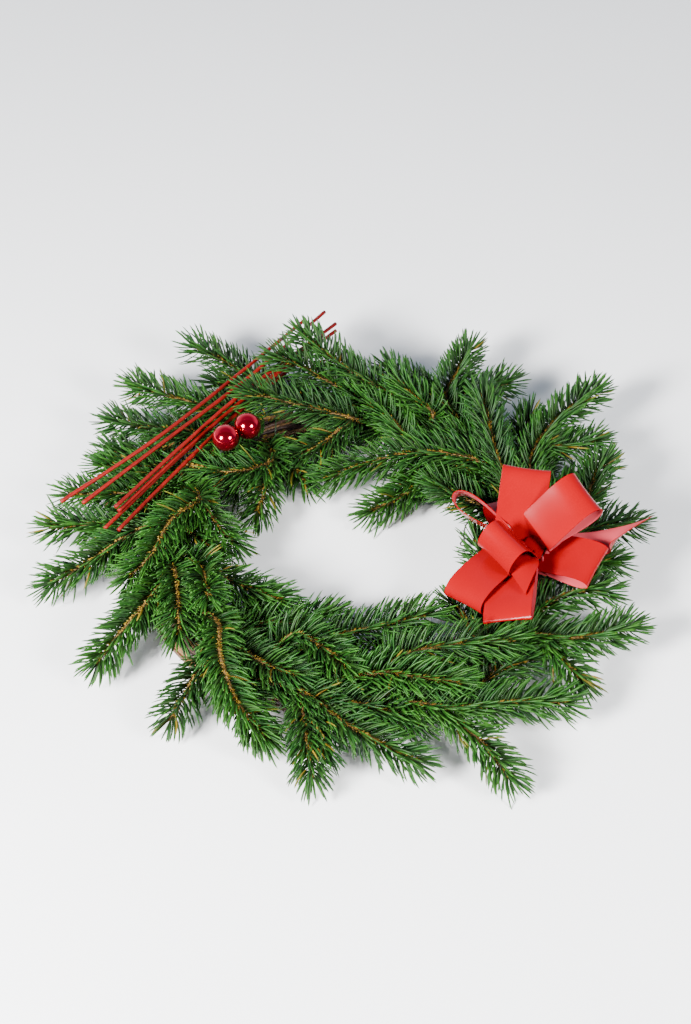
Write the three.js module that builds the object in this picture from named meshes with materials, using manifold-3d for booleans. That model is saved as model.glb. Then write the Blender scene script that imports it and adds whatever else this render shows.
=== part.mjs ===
// An evergreen wreath: spruce sprigs wired round a ring of twigs, with a ribbon bow, two glass balls
// and a fan of painted sticks. Millimetres, +Z up, lying on its back on the plane z = 0.
import * as THREE from 'three';
import { mergeVertices } from 'three/addons/utils/BufferGeometryUtils.js';
import Module from 'manifold-3d';

const wasm = await Module();
wasm.setup();

// Gap that touching pieces keep, the lowest that a needle may reach, and an angle in radians whose
// multiples spread evenly round a circle
const CLEARANCE = 0.3;
const NEEDLE_FLOOR = 0.6;
const SPREAD_ANGLE = 2.4;

// Ring of twigs: radius of its middle line, height of that line, radius of the bundle, how far a wire
// pinches it, how much its thickness wanders, and the corners of its section
const RING_RADIUS = 140;
const BUNDLE_HEIGHT = 10.3;
const BUNDLE_RADIUS = 11;
const BUNDLE_PINCH = 1.5;
const BUNDLE_WAVE = 0.15;
const BUNDLE_SIDES = 10;

// Binding wire: turns round the ring, rows of the ring to a turn, and how far its line stays from the
// middle of the bundle in the groove, over the butts and beside them
const WIRE_TURNS = 20;
const ROWS_PER_TURN = 3;
const WIRE_RADIUS = 0.4;
const WIRE_SIDES = 3;
const GROOVE_REACH = BUNDLE_RADIUS - BUNDLE_PINCH + WIRE_RADIUS + 0.4;
const OVER_BUTTS = BUNDLE_RADIUS + 5.05;
const BESIDE_BUTTS = BUNDLE_RADIUS + 2;

// Sprigs: twig radius at the butt, at the start of a side twig and at the tip, and the length of a
// straight stretch of twig. A butt starts and ends these degrees of the ring from its turn of wire.
const BUTT_RADIUS = 1.9;
const SIDE_RADIUS = 1.6;
const TIP_RADIUS = 1.3;
const TWIG_SIDES = 4;
const TWIG_STEP = 24;
const BUTT_FROM = -5;
const BUTT_TO = 3.5;

// Needles: length, root radius and spacing along the twig, lean from the twig along it and at its tip,
// how far they sway off the twig's four faces, the order in which those take them, the bare length at
// the start of main and side twigs, and the room left before a bend
const NEEDLE_LENGTH = 20;
const NEEDLE_RADIUS = 0.6;
const NEEDLE_SPACING = 5.2;
const NEEDLE_LEAN = 56;
const TIP_LEAN = 24;
const NEEDLE_SWAY = 12;
const FACE_ORDER = [0, 2, 1, 3];
const MAIN_BARE = 26;
const SIDE_BARE = 5;
const BEND_ROOM = 1.2;

// Ribbon bow: its middle, the ribbon's width and thickness, and the share of the width at the knot.
// A loop starts a little out from the middle and is gathered over a share of its length.
const BOW_MIDDLE = [137, 347, 48];
const KNOT_RADIUS = 8;
const RIBBON_WIDTH = 34;
const RIBBON_THICKNESS = 0.8;
const GATHERED_WIDTH = 0.22;
const LOOP_START = 4;
const LOOP_GATHER = 0.3;
const LOOP_FULLNESS = 0.8;
const LOOP_STEPS = 8;
const TAIL_GATHER = 20;
const TAIL_STEPS = 6;

// Glass balls with their necks, and painted sticks
const BALL_RADIUS = 10;
const BALL_SIDES = 12;
const BALL_STEPS = 8;
const NECK_RADIUS = 1.9;
const NECK_LENGTH = 2.4;
const STICK_RADIUS = 1.5;
const STICK_SIDES = 5;
const STICK_STEPS = 6;

// Rows of the ring, between the turns of its binding wire, where the wires of the bow, the balls and
// the sticks go round it, and the angle round the bundle where the balls' wire starts
const BOW_ROW = 56;
const BALL_ROW = 22;
const STICK_ROW = 14;
const INNER_SIDE = 180;
const BALL_WIRE_FROM = 144;

// Each sprig's butt lies under one turn of the binding wire, in a lane across the top of the ring,
// from 1 on the outer side to 4 on the inner one. The points that its twig then passes through are
// [distance from the wreath's middle, bearing in degrees, height]. A side twig leaves the main one
// at its nearest place to the first point that is given.
const SPRIGS = [
  { turn: 0, lane: 1, main: [[174, 8, 30], [196, 18, 32], [217, 23, 28]] },
  {
    turn: 0, lane: 2, main: [[155, 27, 36], [195, 35, 38], [248, 38, 32]],
    sides: [[[171, 29, 34], [193, 28, 32], [218, 28, 26]]],
  },
  { turn: 0, lane: 3, main: [[132, 30, 40], [150, 44, 46], [172, 53, 44]] },
  { turn: 0, lane: 4, main: [[102, 17, 31], [88, 29, 33], [84, 42, 28]] },
  { turn: 1, lane: 1, main: [[158, 32, 26], [182, 40, 28], [208, 45, 24]] },
  { turn: 1, lane: 3, main: [[119, 36, 38], [95, 54, 38], [75, 76, 32], [66, 105, 22]] },
  { turn: 1, lane: 4, main: [[108, 36, 26], [90, 45, 24], [65, 51, 18], [43, 67, 12]] },
  {
    turn: 2, lane: 2, main: [[161, 61, 32], [192, 63, 34], [226, 64, 30]],
    sides: [[[171, 57, 28], [195, 55, 27], [215, 53, 23]], [[158, 64, 30], [175, 75, 28], [190, 80, 26]]],
  },
  { turn: 2, lane: 4, main: [[107, 60, 30], [127, 75, 33], [147, 88, 32]] },
  { turn: 3, lane: 2, main: [[154, 81, 37], [167, 91, 45], [206, 100, 47]] },
  { turn: 3, lane: 3, main: [[139, 61, 35], [147, 70, 42], [166, 78, 44]] },
  { turn: 4, lane: 2, main: [[158, 95, 37], [172, 103, 46], [182, 108, 48]] },
  {
    turn: 4, lane: 4, main: [[117, 88, 36], [128, 106, 44], [151, 120, 50]],
    sides: [[[114, 88, 33], [98, 99, 31], [92, 117, 24]]],
  },
  {
    turn: 5, lane: 1, main: [[184, 111, 23], [213, 117, 30], [237, 121, 33]],
    sides: [[[172, 108, 21], [200, 121, 22]]],
  },
  { turn: 6, lane: 2, main: [[168, 127, 30], [202, 134, 34], [230, 136, 30]] },
  {
    turn: 6, lane: 4, main: [[92, 128, 33], [100, 145, 38], [140, 152, 38]],
    sides: [[[92, 128, 33], [76, 144, 24], [73, 157, 18]]],
  },
  {
    turn: 7, lane: 1, main: [[165, 138, 30], [187, 143, 30], [220, 145, 24]],
    sides: [[[157, 137, 26], [178, 150, 22], [206, 151, 18]]],
  },
  { turn: 8, lane: 1, main: [[161, 152, 25], [183, 156, 25], [211, 157, 20]] },
  { turn: 8, lane: 2, main: [[160, 163, 28], [187, 166, 26], [214, 166, 19]] },
  {
    turn: 8, lane: 3, main: [[110, 167, 42], [125, 180, 46], [143, 193, 41], [161, 196, 32]],
    sides: [[[110, 165, 40], [91, 177, 31], [79, 184, 24]]],
  },
  { turn: 9, lane: 2, main: [[145, 176, 28], [176, 176, 28], [218, 176, 22]] },
  { turn: 9, lane: 3, main: [[131, 176, 37], [159, 183, 37], [181, 187, 29], [216, 190, 18]] },
  { turn: 10, lane: 2, main: [[137, 199, 33], [156, 206, 32], [181, 210, 26], [206, 213, 18]] },
  { turn: 10, lane: 3, main: [[128, 198, 39], [137, 212, 41], [152, 221, 32]] },
  {
    turn: 10, lane: 4, main: [[111, 196, 32], [96, 212, 37], [77, 238, 30]],
    sides: [[[111, 197, 33], [112, 208, 46], [126, 222, 57]]],
  },
  { turn: 11, lane: 3, main: [[128, 226, 42], [154, 237, 45], [175, 246, 35], [187, 254, 21]] },
  { turn: 12, lane: 2, main: [[147, 230, 27], [163, 231, 24], [198, 233, 14]] },
  { turn: 12, lane: 3, main: [[133, 237, 34], [140, 248, 40], [143, 258, 41]] },
  { turn: 12, lane: 4, main: [[103, 233, 25], [86, 250, 28], [73, 264, 26]] },
  {
    turn: 13, lane: 2, main: [[152, 260, 33], [173, 270, 31], [201, 284, 17]],
    sides: [[[151, 259, 33], [174, 261, 29], [207, 264, 14]]],
  },
  { turn: 13, lane: 3, main: [[107, 251, 38], [118, 263, 42], [134, 271, 42]] },
  {
    turn: 13, lane: 4, main: [[112, 248, 24], [95, 268, 30], [94, 287, 34], [98, 308, 32]],
    spurs: [[[112, 248, 24], [101, 238, 26]]],
  },
  { turn: 14, lane: 2, main: [[154, 266, 32], [160, 277, 30], [176, 287, 24]] },
  { turn: 14, lane: 3, main: [[139, 280, 40], [154, 289, 46], [168, 298, 43]] },
  {
    turn: 15, lane: 1, main: [[161, 284, 33], [177, 293, 35], [191, 307, 28], [211, 316, 20]],
    sides: [[[173, 291, 34], [204, 296, 25], [234, 298, 13]]],
  },
  { turn: 15, lane: 3, main: [[130, 286, 41], [139, 301, 48], [161, 316, 44]] },
  { turn: 16, lane: 1, main: [[166, 300, 26], [163, 310, 28], [170, 319, 25]] },
  {
    turn: 17, lane: 1, main: [[159, 322, 32], [186, 327, 34], [217, 337, 26]],
    sides: [[[166, 323, 33], [193, 322, 26], [207, 322, 18]]],
  },
  { turn: 17, lane: 3, main: [[148, 326, 31], [169, 338, 38], [194, 343, 32]] },
  { turn: 17, lane: 4, main: [[124, 315, 24], [108, 319, 26], [95, 322, 22]] },
  { turn: 18, lane: 4, main: [[112, 340, 25], [96, 355, 27], [92, 8, 25]] },
  { turn: 19, lane: 1, main: [[172, 352, 24], [188, 354, 24], [203, 355, 21]] },
  { turn: 19, lane: 2, main: [[164, 358, 33], [184, 1, 35], [213, 3, 29]] },
];

// Loops of the bow: the way they point, how far they rise above level, their length, how far they open
// and how far they roll round their own line. A loop's base stands off the middle by its shift.
const LOOPS = [
  { bearing: 79, rise: 43, length: 56, open: 12, roll: 4, shift: [-13, 1, 2] },
  { bearing: 24, rise: 31, length: 45, open: 16, roll: 14, shift: [1, 1.6, 16.8] },
  { bearing: -32, rise: 10, length: 45, open: 10, roll: 13, shift: [4.5, -1.4, 0] },
  { bearing: -99, rise: -1, length: 65.5, open: 7, roll: 19, shift: [-11, -5, 4] },
  { bearing: -132, rise: -12, length: 64, open: 16, roll: 12, shift: [-10, 2, 6] },
  { bearing: -142, rise: 30, length: 38, open: 22, roll: -3, shift: [-3, -1, 4] },
  { bearing: 148, rise: 16, length: 65, open: 14, roll: 54, shift: [-2, 1, 1] },
  { bearing: 118, rise: 20, length: 43, open: 12, roll: 10, shift: [-1, 0, -1] },
];

// Tails of the bow: the points along its middle line, [out, up] from the bow, and the slant of its cut
// end. The short one's base stands off the middle.
const TAILS = [
  { bearing: 3, roll: 6, line: [[0, 0], [22, 2], [46, 4], [58, 9], [68, 20]], slant: -32, width: 21 },
  {
    bearing: -114, roll: 4, line: [[2, 0], [10, 4], [22, 8], [36, 5]], slant: -22, width: 24,
    shift: [-2, -5.8, 6],
  },
];

// Balls: the middle of each, and the place where their two wires meet
const BALLS = [[118, 139, 53], [118, 128.5, 51]];
const BALL_FORK = [129, 137, 27];

// Painted sticks, each through four points, from the left end, and how far along them their tie is
const STICKS = [
  [[207, 175, 46], [164, 151, 48], [181, 117, 42], [233, 98, 37]],
  [[191, 175, 46], [156, 149, 48], [173, 116, 42], [241, 94, 37]],
  [[166, 177, 50], [142, 150, 49], [157, 120.5, 44], [226, 92, 37]],
  [[164, 177, 46], [140, 149, 45.5], [155, 119, 41], [221, 92, 34]],
  [[173, 182, 43], [142, 152, 41.5], [155, 122, 37.5], [220, 94.5, 31]],
  [[163, 183, 44], [134, 154, 43], [151, 122.5, 34], [197, 100, 28]],
];
const STICK_TIE = 0.83;

// The sticks' wire comes up outside the ring and then hugs them from one angle to another, by steps
const STICK_WIRE_UP = [158, 98, 14];
const HUG_FROM = -70;
const HUG_TO = -410;
const HUG_STEP = 20;
const HUG_REACH = STICK_RADIUS + CLEARANCE + 0.6;

// Where the bow's wire comes down outside the ring, where its free end goes, and its curl
const BOW_WIRE_DOWN = [[150, 351, 34], [156, 352.5, 14]];
const BOW_WIRE_END = [[112, 0, 14], [93, 14, 19], [89, 11.5, 11]];
const CURL_MIDDLE = [88, 9, 6];
const CURL_RADIUS = 2.2;
const CURL_FROM = 60;
const CURL_TO = -240;
const CURL_STEP = 60;

// Places tried along a curve to find the nearest one
const SAMPLES = 300;

const FINISHES = {
  bark: { color: 0x5a3c22, roughness: 0.85 },
  greenWire: { color: 0x2d4a2c, roughness: 0.45, metalness: 0.6 },
  darkWire: { color: 0x3c3a30, roughness: 0.45, metalness: 0.6 },
  brightWire: { color: 0x6a6a66, roughness: 0.4, metalness: 0.7 },
  ribbon: { color: 0xe5302a, roughness: 0.4 },
  glass: { color: 0x9c0f1a, roughness: 0.08 },
  paintedStick: { color: 0xb01f1c, roughness: 0.5 },
  needles: { color: 0x2f5d2a, roughness: 0.6 },
};

const radians = THREE.MathUtils.degToRad;
const UP = new THREE.Vector3(0, 0, 1);

// A place on the wreath, from its distance to the middle, its bearing and its height
function place([reach, bearing, height]) {
  const turned = radians(bearing);
  return new THREE.Vector3(reach * Math.cos(turned), reach * Math.sin(turned), height);
}

// A place round the ring's bundle: bearing along the ring, angle round the bundle, distance from its middle
function ringPlace(bearing, around, distance) {
  const reach = RING_RADIUS + distance * Math.cos(radians(around));
  return place([reach, bearing, BUNDLE_HEIGHT + distance * Math.sin(radians(around))]);
}

// A closed solid of a geometry, by its corners alone, and back
function toSolid(geometry) {
  const bare = geometry.clone();
  bare.deleteAttribute('normal');
  bare.deleteAttribute('uv');
  const merged = mergeVertices(bare, 1e-4);
  return new wasm.Manifold(new wasm.Mesh({
    numProp: 3,
    vertProperties: merged.attributes.position.array,
    triVerts: Uint32Array.from(merged.index.array),
  }));
}

function toGeometry(solid) {
  const mesh = solid.getMesh();
  const geometry = new THREE.BufferGeometry();
  geometry.setAttribute('position', new THREE.BufferAttribute(mesh.vertProperties.slice(), 3));
  geometry.setIndex(new THREE.BufferAttribute(mesh.triVerts.slice(), 1));
  return geometry;
}

function regularSection(sides, radius) {
  const corners = [];
  for (let side = 0; side < sides; side += 1) {
    const turned = 2 * Math.PI * side / sides;
    corners.push(new THREE.Vector2(radius * Math.cos(turned), radius * Math.sin(turned)));
  }
  return new THREE.Shape(corners);
}

// A tube through points, whose radius falls evenly from its start to its end
function tube(points, sides, startRadius, endRadius = startRadius) {
  const steps = points.length - 1;
  const extrudePath = new PointPath(points);
  const section = regularSection(sides, startRadius);
  const geometry = new THREE.ExtrudeGeometry(section, { steps, extrudePath, bevelEnabled: false });
  const position = geometry.attributes.position;
  const corner = new THREE.Vector3();
  for (let i = 0; i < position.count; i += 1) {
    corner.fromBufferAttribute(position, i);
    const distances = points.map((middle) => middle.distanceToSquared(corner));
    const step = distances.indexOf(Math.min(...distances));
    const shrink = 1 + (endRadius / startRadius - 1) * step / steps;
    corner.sub(points[step]).multiplyScalar(shrink).add(points[step]);
    position.setXYZ(i, corner.x, corner.y, corner.z);
  }
  return toSolid(geometry);
}

// A path of straight stretches between points, spaced evenly in its own measure
class PointPath extends THREE.Curve {
  constructor(points) {
    super();
    this.points = points;
  }

  getPointAt(share) {
    const at = THREE.MathUtils.clamp(share, 0, 1) * (this.points.length - 1);
    const before = Math.min(Math.floor(at), this.points.length - 2);
    return this.points[before].clone().lerp(this.points[before + 1], at - before);
  }

  getTangentAt(share) {
    const step = 0.5 / (this.points.length - 1);
    return this.getPointAt(share + step).sub(this.getPointAt(share - step)).normalize();
  }
}

function wire(points, radius = WIRE_RADIUS) {
  return tube(points, WIRE_SIDES, radius);
}

function smoothCurve(points) {
  return new THREE.CatmullRomCurve3(points, false, 'centripetal');
}

// The ring of twigs: rows of corners that lean with the binding wire, so that it lies in a groove
function ringOfTwigs() {
  const rows = WIRE_TURNS * ROWS_PER_TURN;
  const corners = [];
  const faces = [];
  for (let row = 0; row < rows; row += 1) {
    const pinched = row % ROWS_PER_TURN === 0 || [BOW_ROW, BALL_ROW, STICK_ROW].includes(row);
    const radius = BUNDLE_RADIUS + (pinched ? -BUNDLE_PINCH : BUNDLE_WAVE * Math.sin(SPREAD_ANGLE * row));
    for (let side = 0; side < BUNDLE_SIDES; side += 1) {
      const bearing = 360 * (row / ROWS_PER_TURN + side / BUNDLE_SIDES) / WIRE_TURNS;
      const corner = ringPlace(bearing, 360 * side / BUNDLE_SIDES, radius);
      corners.push(corner.x, corner.y, Math.max(corner.z, 0));
      // The last side closes on the first corner of the next turn
      const wraps = side === BUNDLE_SIDES - 1;
      const next = wraps ? ((row + ROWS_PER_TURN) % rows) * BUNDLE_SIDES : row * BUNDLE_SIDES + side + 1;
      const above = ((row + 1) % rows) * BUNDLE_SIDES + side;
      const afterRow = (row + 1 + (wraps ? ROWS_PER_TURN : 0)) % rows;
      const aboveNext = afterRow * BUNDLE_SIDES + (wraps ? 0 : side + 1);
      const here = row * BUNDLE_SIDES + side;
      faces.push(here, above, aboveNext, here, aboveNext, next);
    }
  }
  const geometry = new THREE.BufferGeometry();
  geometry.setAttribute('position', new THREE.Float32BufferAttribute(corners, 3));
  geometry.setIndex(faces);
  return toSolid(geometry);
}

// The binding wire lies in the ring's groove under and beside it, and passes over the butts on top
function bindingWire() {
  const points = [];
  for (let step = 0; step < WIRE_TURNS * BUNDLE_SIDES; step += 1) {
    const around = 360 * (step % BUNDLE_SIDES) / BUNDLE_SIDES;
    const bearing = 360 * step / BUNDLE_SIDES / WIRE_TURNS;
    const above = around % 180 === 0 ? BESIDE_BUTTS : OVER_BUTTS;
    points.push(ringPlace(bearing, around, around <= 180 ? above : GROOVE_REACH));
  }
  return wire(points);
}

// Points of a wire in a pinched row, from an angle on the inner side, under the ring, to the outer side
function wrapped(row, from) {
  const points = [];
  for (let around = from; around < 360; around += 360 / BUNDLE_SIDES) {
    points.push(ringPlace(360 * (row / ROWS_PER_TURN + around / 360) / WIRE_TURNS, around, GROOVE_REACH));
  }
  return points;
}

// The main twig of a sprig. Its butt lies under the wire at some distance from the middle of the bundle.
function mainTwig(sprig, distance) {
  const around = 360 / BUNDLE_SIDES * sprig.lane;
  const bearing = 360 * (sprig.turn + around / 360) / WIRE_TURNS;
  const [butt, release] = [BUTT_FROM, BUTT_TO].map((ahead) => ringPlace(bearing + ahead, around, distance));
  return makeTwig([release, ...sprig.main.map(place)], BUTT_RADIUS, MAIN_BARE, [butt]);
}

// The main twig with its butt let down until it rests on the ring
function seatedTwig(sprig, ring) {
  const distance = BUNDLE_RADIUS + CLEARANCE + BUTT_RADIUS;
  const gap = mainTwig(sprig, distance).solid.minGap(ring, 2 * BUTT_RADIUS);
  return mainTwig(sprig, distance - Math.max(gap - CLEARANCE, 0));
}

// The place on a curve where a measured value is least
function leastOnCurve(curve, measure) {
  let best = curve.getPointAt(0);
  for (let i = 1; i <= SAMPLES; i += 1) {
    const point = curve.getPointAt(i / SAMPLES);
    if (measure(point) < measure(best)) best = point;
  }
  return best;
}

// A twig: its points, the path through them, how much of it has no needles, and its solid
function makeTwig(places, startRadius, bare, before = []) {
  const curve = smoothCurve(places);
  const steps = Math.max(2, Math.round(curve.getLength() / TWIG_STEP));
  const points = [...before, ...curve.getSpacedPoints(steps)];
  const solid = tube(points, TWIG_SIDES, startRadius, TIP_RADIUS);
  return { points, path: new PointPath(points), bare, solid };
}

// The main twig of a sprig, then its side twigs and its cut spurs, which have no needles
function sprigTwigs(sprig, ring) {
  const main = seatedTwig(sprig, ring);
  const branch = (side, startRadius, bare) => {
    const [first, ...rest] = side.map(place);
    const root = leastOnCurve(main.path, (point) => point.distanceTo(first));
    return makeTwig([root, ...rest], startRadius, bare);
  };
  const sides = (sprig.sides ?? []).map((side) => branch(side, SIDE_RADIUS, SIDE_BARE));
  const spurs = (sprig.spurs ?? []).map((spur) => branch(spur, BUTT_RADIUS, Infinity));
  return [main, ...sides, ...spurs];
}

// Solids joined in one; a hollow that the joining seals is filled
function fuse(solids) {
  const joined = solids.reduce((whole, piece) => whole.add(piece));
  const filled = joined.decompose().filter((piece) => piece.volume() > 0);
  return filled.reduce((whole, piece) => whole.add(piece));
}

// One straight three-sided needle from a root inside its twig
function needleSolid(root, direction) {
  const geometry = new THREE.ConeGeometry(NEEDLE_RADIUS, NEEDLE_LENGTH, 3);
  geometry.translate(0, NEEDLE_LENGTH / 2, 0);
  const turn = new THREE.Quaternion().setFromUnitVectors(new THREE.Vector3(0, 1, 0), direction);
  geometry.applyQuaternion(turn);
  geometry.translate(root.x, root.y, root.z);
  return toSolid(geometry);
}

function boxesMeet(a, b, margin) {
  return [0, 1, 2].every((axis) => a.min[axis] - margin < b.max[axis] && b.min[axis] - margin < a.max[axis]);
}

function isClear(solid, others) {
  const box = solid.boundingBox();
  if (box.min[2] < NEEDLE_FLOOR) return false;
  return others.every((other) => !boxesMeet(box, other.box, CLEARANCE)
    || solid.minGap(other.solid, 2 * CLEARANCE) >= CLEARANCE);
}

// Turns round the twig, in degrees, and shares of the lean, that a needle tries until it is clear
const BENDS = [[0, 1], [28, 1], [-28, 1], [0, 0.6], [56, 0.8], [-56, 0.8], [90, 0.7], [-90, 0.7]];

function addNeedle(root, along, across, azimuth, lean, others, needles) {
  for (const [swing, share] of BENDS) {
    const tilt = radians(lean * share);
    const outward = across.clone().applyAxisAngle(along, radians(azimuth + swing));
    const direction = along.clone().multiplyScalar(Math.cos(tilt)).addScaledVector(outward, Math.sin(tilt));
    const solid = needleSolid(root, direction.normalize());
    if (isClear(solid, [...others, ...needles])) {
      needles.push({ solid, box: solid.boundingBox() });
      return;
    }
  }
}

// Needles stand on the four sides of a twig by turns, closer to its line towards the tip
function needlesOf(twig, seed, others, needles) {
  const steps = twig.points.length - 1;
  const { normals } = twig.path.computeFrenetFrames(steps, false);
  let travelled = 0;
  let nextNeedle = twig.bare;
  let count = 0;
  for (let step = 0; step < steps; step += 1) {
    const stretch = twig.points[step + 1].clone().sub(twig.points[step]);
    const along = stretch.clone().normalize();
    while (nextNeedle < travelled + stretch.length() - BEND_ROOM) {
      const part = (nextNeedle - travelled) / stretch.length();
      const root = twig.points[step].clone().addScaledVector(stretch, part);
      const across = normals[step].clone().lerp(normals[step + 1], part).normalize();
      const nearTip = step === steps - 1 ? THREE.MathUtils.smoothstep(part, 0.2, 1) : 0;
      const lean = THREE.MathUtils.lerp(NEEDLE_LEAN, TIP_LEAN, nearTip);
      const sway = NEEDLE_SWAY * Math.sin(SPREAD_ANGLE * count + seed);
      const azimuth = 45 + 90 * FACE_ORDER[count % FACE_ORDER.length] + sway;
      addNeedle(root, along, across, azimuth, lean, others, needles);
      nextNeedle += NEEDLE_SPACING;
      count += 1;
    }
    travelled += stretch.length();
    if (step === steps - 1 && twig.bare < travelled) {
      const end = twig.points[steps].clone().addScaledVector(along, -1);
      addNeedle(end, along, normals[steps], 45, 0, others, needles);
    }
  }
}

// A band of ribbon along a line in the (out, up) plane, gathered from the bow's middle to some reach,
// and with its end cut on a slant
function band(line, width, reach, slant = 0) {
  const outer = [];
  const inner = [];
  for (let i = 0; i < line.length; i += 1) {
    const ahead = line[Math.min(i + 1, line.length - 1)].clone().sub(line[Math.max(i - 1, 0)]).normalize();
    const offset = new THREE.Vector2(-ahead.y, ahead.x).multiplyScalar(RIBBON_THICKNESS / 2);
    outer.push(line[i].clone().add(offset));
    inner.unshift(line[i].clone().sub(offset));
  }
  const shape = new THREE.Shape([...outer, ...inner]);
  const geometry = new THREE.ExtrudeGeometry(shape, { depth: 1, steps: 1, bevelEnabled: false });
  const position = geometry.attributes.position;
  const end = line[line.length - 1];
  for (let i = 0; i < position.count; i += 1) {
    const out = position.getX(i);
    const gathered = THREE.MathUtils.lerp(GATHERED_WIDTH, 1, THREE.MathUtils.smoothstep(out, 0, reach));
    const across = (position.getZ(i) - 0.5) * width * gathered;
    const atEnd = Math.hypot(out - end.x, position.getY(i) - end.y) < RIBBON_THICKNESS;
    position.setXYZ(i, out + (atEnd ? slant * across / width : 0), position.getY(i), across);
  }
  return geometry;
}

// A band as a solid, turned from the plane it was drawn in to the way it points from the bow
function pointed(geometry, { bearing, rise = 0, roll, shift = [0, 0, 0] }) {
  const middle = place(BOW_MIDDLE).add(new THREE.Vector3(...shift));
  const turn = new THREE.Matrix4().makeRotationZ(radians(bearing))
    .multiply(new THREE.Matrix4().makeRotationY(-radians(rise)))
    .multiply(new THREE.Matrix4().makeRotationX(radians(90 + roll)))
    .setPosition(middle);
  return toSolid(geometry.applyMatrix4(turn));
}

// A loop goes out below, turns over at its end and comes back above
function ribbonLoop(loop) {
  const line = [];
  for (let i = 0; i <= LOOP_STEPS; i += 1) {
    const turned = Math.PI * i / LOOP_STEPS;
    const up = -loop.open / 2 * Math.sin(2 * turned) + RIBBON_THICKNESS * (2 * i / LOOP_STEPS - 1);
    const out = LOOP_START + (loop.length - LOOP_START) * Math.sin(turned) ** LOOP_FULLNESS;
    line.push(new THREE.Vector2(out, up));
  }
  return pointed(band(line, RIBBON_WIDTH, loop.length * LOOP_GATHER), loop);
}

function ribbonTail(tail) {
  const curve = new THREE.SplineCurve(tail.line.map(([out, up]) => new THREE.Vector2(out, up)));
  return pointed(band(curve.getPoints(TAIL_STEPS), tail.width, TAIL_GATHER, tail.slant), tail);
}

function ribbonBow() {
  const knot = new THREE.IcosahedronGeometry(KNOT_RADIUS, 0);
  knot.translate(...place(BOW_MIDDLE).toArray());
  return fuse([toSolid(knot), ...LOOPS.map(ribbonLoop), ...TAILS.map(ribbonTail)]);
}

// The bow's wire comes down from the knot, goes round the ring and ends in a small free curl
function bowWire() {
  const start = place(BOW_MIDDLE).add(new THREE.Vector3(0, 0, -KNOT_RADIUS - CLEARANCE - WIRE_RADIUS));
  const around = wrapped(BOW_ROW, INNER_SIDE).reverse();
  const points = [start, ...BOW_WIRE_DOWN.map(place), ...around, ...BOW_WIRE_END.map(place)];
  const curl = place(CURL_MIDDLE);
  for (let turned = CURL_FROM; turned >= CURL_TO; turned -= CURL_STEP) {
    const away = new THREE.Vector3(Math.cos(radians(turned)), 0, Math.sin(radians(turned)));
    points.push(curl.clone().addScaledVector(away, CURL_RADIUS));
  }
  return wire(points);
}

// A glass ball with a short neck below it, turned to the place where its wire goes
function glassBall(middle) {
  const profile = [new THREE.Vector2(0, -BALL_RADIUS - NECK_LENGTH)];
  profile.push(new THREE.Vector2(NECK_RADIUS, -BALL_RADIUS - NECK_LENGTH));
  const neckAngle = Math.asin(NECK_RADIUS / BALL_RADIUS);
  for (let i = 0; i <= BALL_STEPS; i += 1) {
    const turned = neckAngle + (Math.PI - neckAngle) * i / BALL_STEPS;
    const reach = i === BALL_STEPS ? 0 : BALL_RADIUS * Math.sin(turned);
    profile.push(new THREE.Vector2(reach, -BALL_RADIUS * Math.cos(turned)));
  }
  const geometry = new THREE.LatheGeometry(profile, BALL_SIDES);
  const away = middle.clone().sub(place(BALL_FORK)).normalize();
  geometry.applyQuaternion(new THREE.Quaternion().setFromUnitVectors(new THREE.Vector3(0, 1, 0), away));
  geometry.translate(...middle.toArray());
  return toSolid(geometry);
}

// The balls' two wires meet in a fork, and their stem goes round the ring
function ballWire() {
  const fork = place(BALL_FORK);
  const arms = BALLS.map((ball) => {
    const middle = place(ball);
    const away = fork.clone().sub(middle).normalize();
    const start = middle.clone().addScaledVector(away, BALL_RADIUS + NECK_LENGTH + CLEARANCE);
    return wire([start, fork.clone().addScaledVector(away, WIRE_RADIUS)]);
  });
  const stem = wire([fork, ...wrapped(BALL_ROW, BALL_WIRE_FROM)]);
  return fuse([...arms, stem]);
}

function stickCurve(stick) {
  return smoothCurve(stick.map(place));
}

// The sticks' wire hugs all of them, then comes down to the ring and goes under it
function stickWire() {
  const lead = stickCurve(STICKS[2]);
  const along = lead.getTangentAt(STICK_TIE);
  const plane = new THREE.Plane().setFromNormalAndCoplanarPoint(along, lead.getPointAt(STICK_TIE));
  const offPlane = (point) => Math.abs(plane.distanceToPoint(point));
  const middles = STICKS.map((stick) => leastOnCurve(stickCurve(stick), offPlane));
  const across = new THREE.Vector3().crossVectors(along, UP).normalize();
  const upward = new THREE.Vector3().crossVectors(across, along);
  const hug = [];
  for (let turned = HUG_FROM; turned >= HUG_TO; turned -= HUG_STEP) {
    const away = across.clone().multiplyScalar(Math.cos(radians(turned)));
    away.addScaledVector(upward, Math.sin(radians(turned)));
    const reached = middles.reduce((best, next) => (next.dot(away) > best.dot(away) ? next : best));
    hug.push(reached.clone().addScaledVector(away, HUG_REACH));
  }
  return wire([...wrapped(STICK_ROW, INNER_SIDE), place(STICK_WIRE_UP), ...hug]);
}

const nodes = new Map();
function addNode(name, solid, finish) {
  nodes.set(name, { solid, finish });
}

addNode('ring_base', ringOfTwigs(), FINISHES.bark);
addNode('binding_wire', bindingWire(), FINISHES.greenWire);
addNode('bow_ribbon', ribbonBow(), FINISHES.ribbon);
addNode('bow_wire', bowWire(), FINISHES.darkWire);
BALLS.forEach((ball, index) => addNode(`glass_ball_${index + 1}`, glassBall(place(ball)), FINISHES.glass));
addNode('ball_wire', ballWire(), FINISHES.brightWire);
STICKS.forEach((stick, index) => {
  const points = stickCurve(stick).getSpacedPoints(STICK_STEPS);
  addNode(`painted_stick_${index + 1}`, tube(points, STICK_SIDES, STICK_RADIUS), FINISHES.paintedStick);
});
addNode('stick_wire', stickWire(), FINISHES.darkWire);

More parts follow.
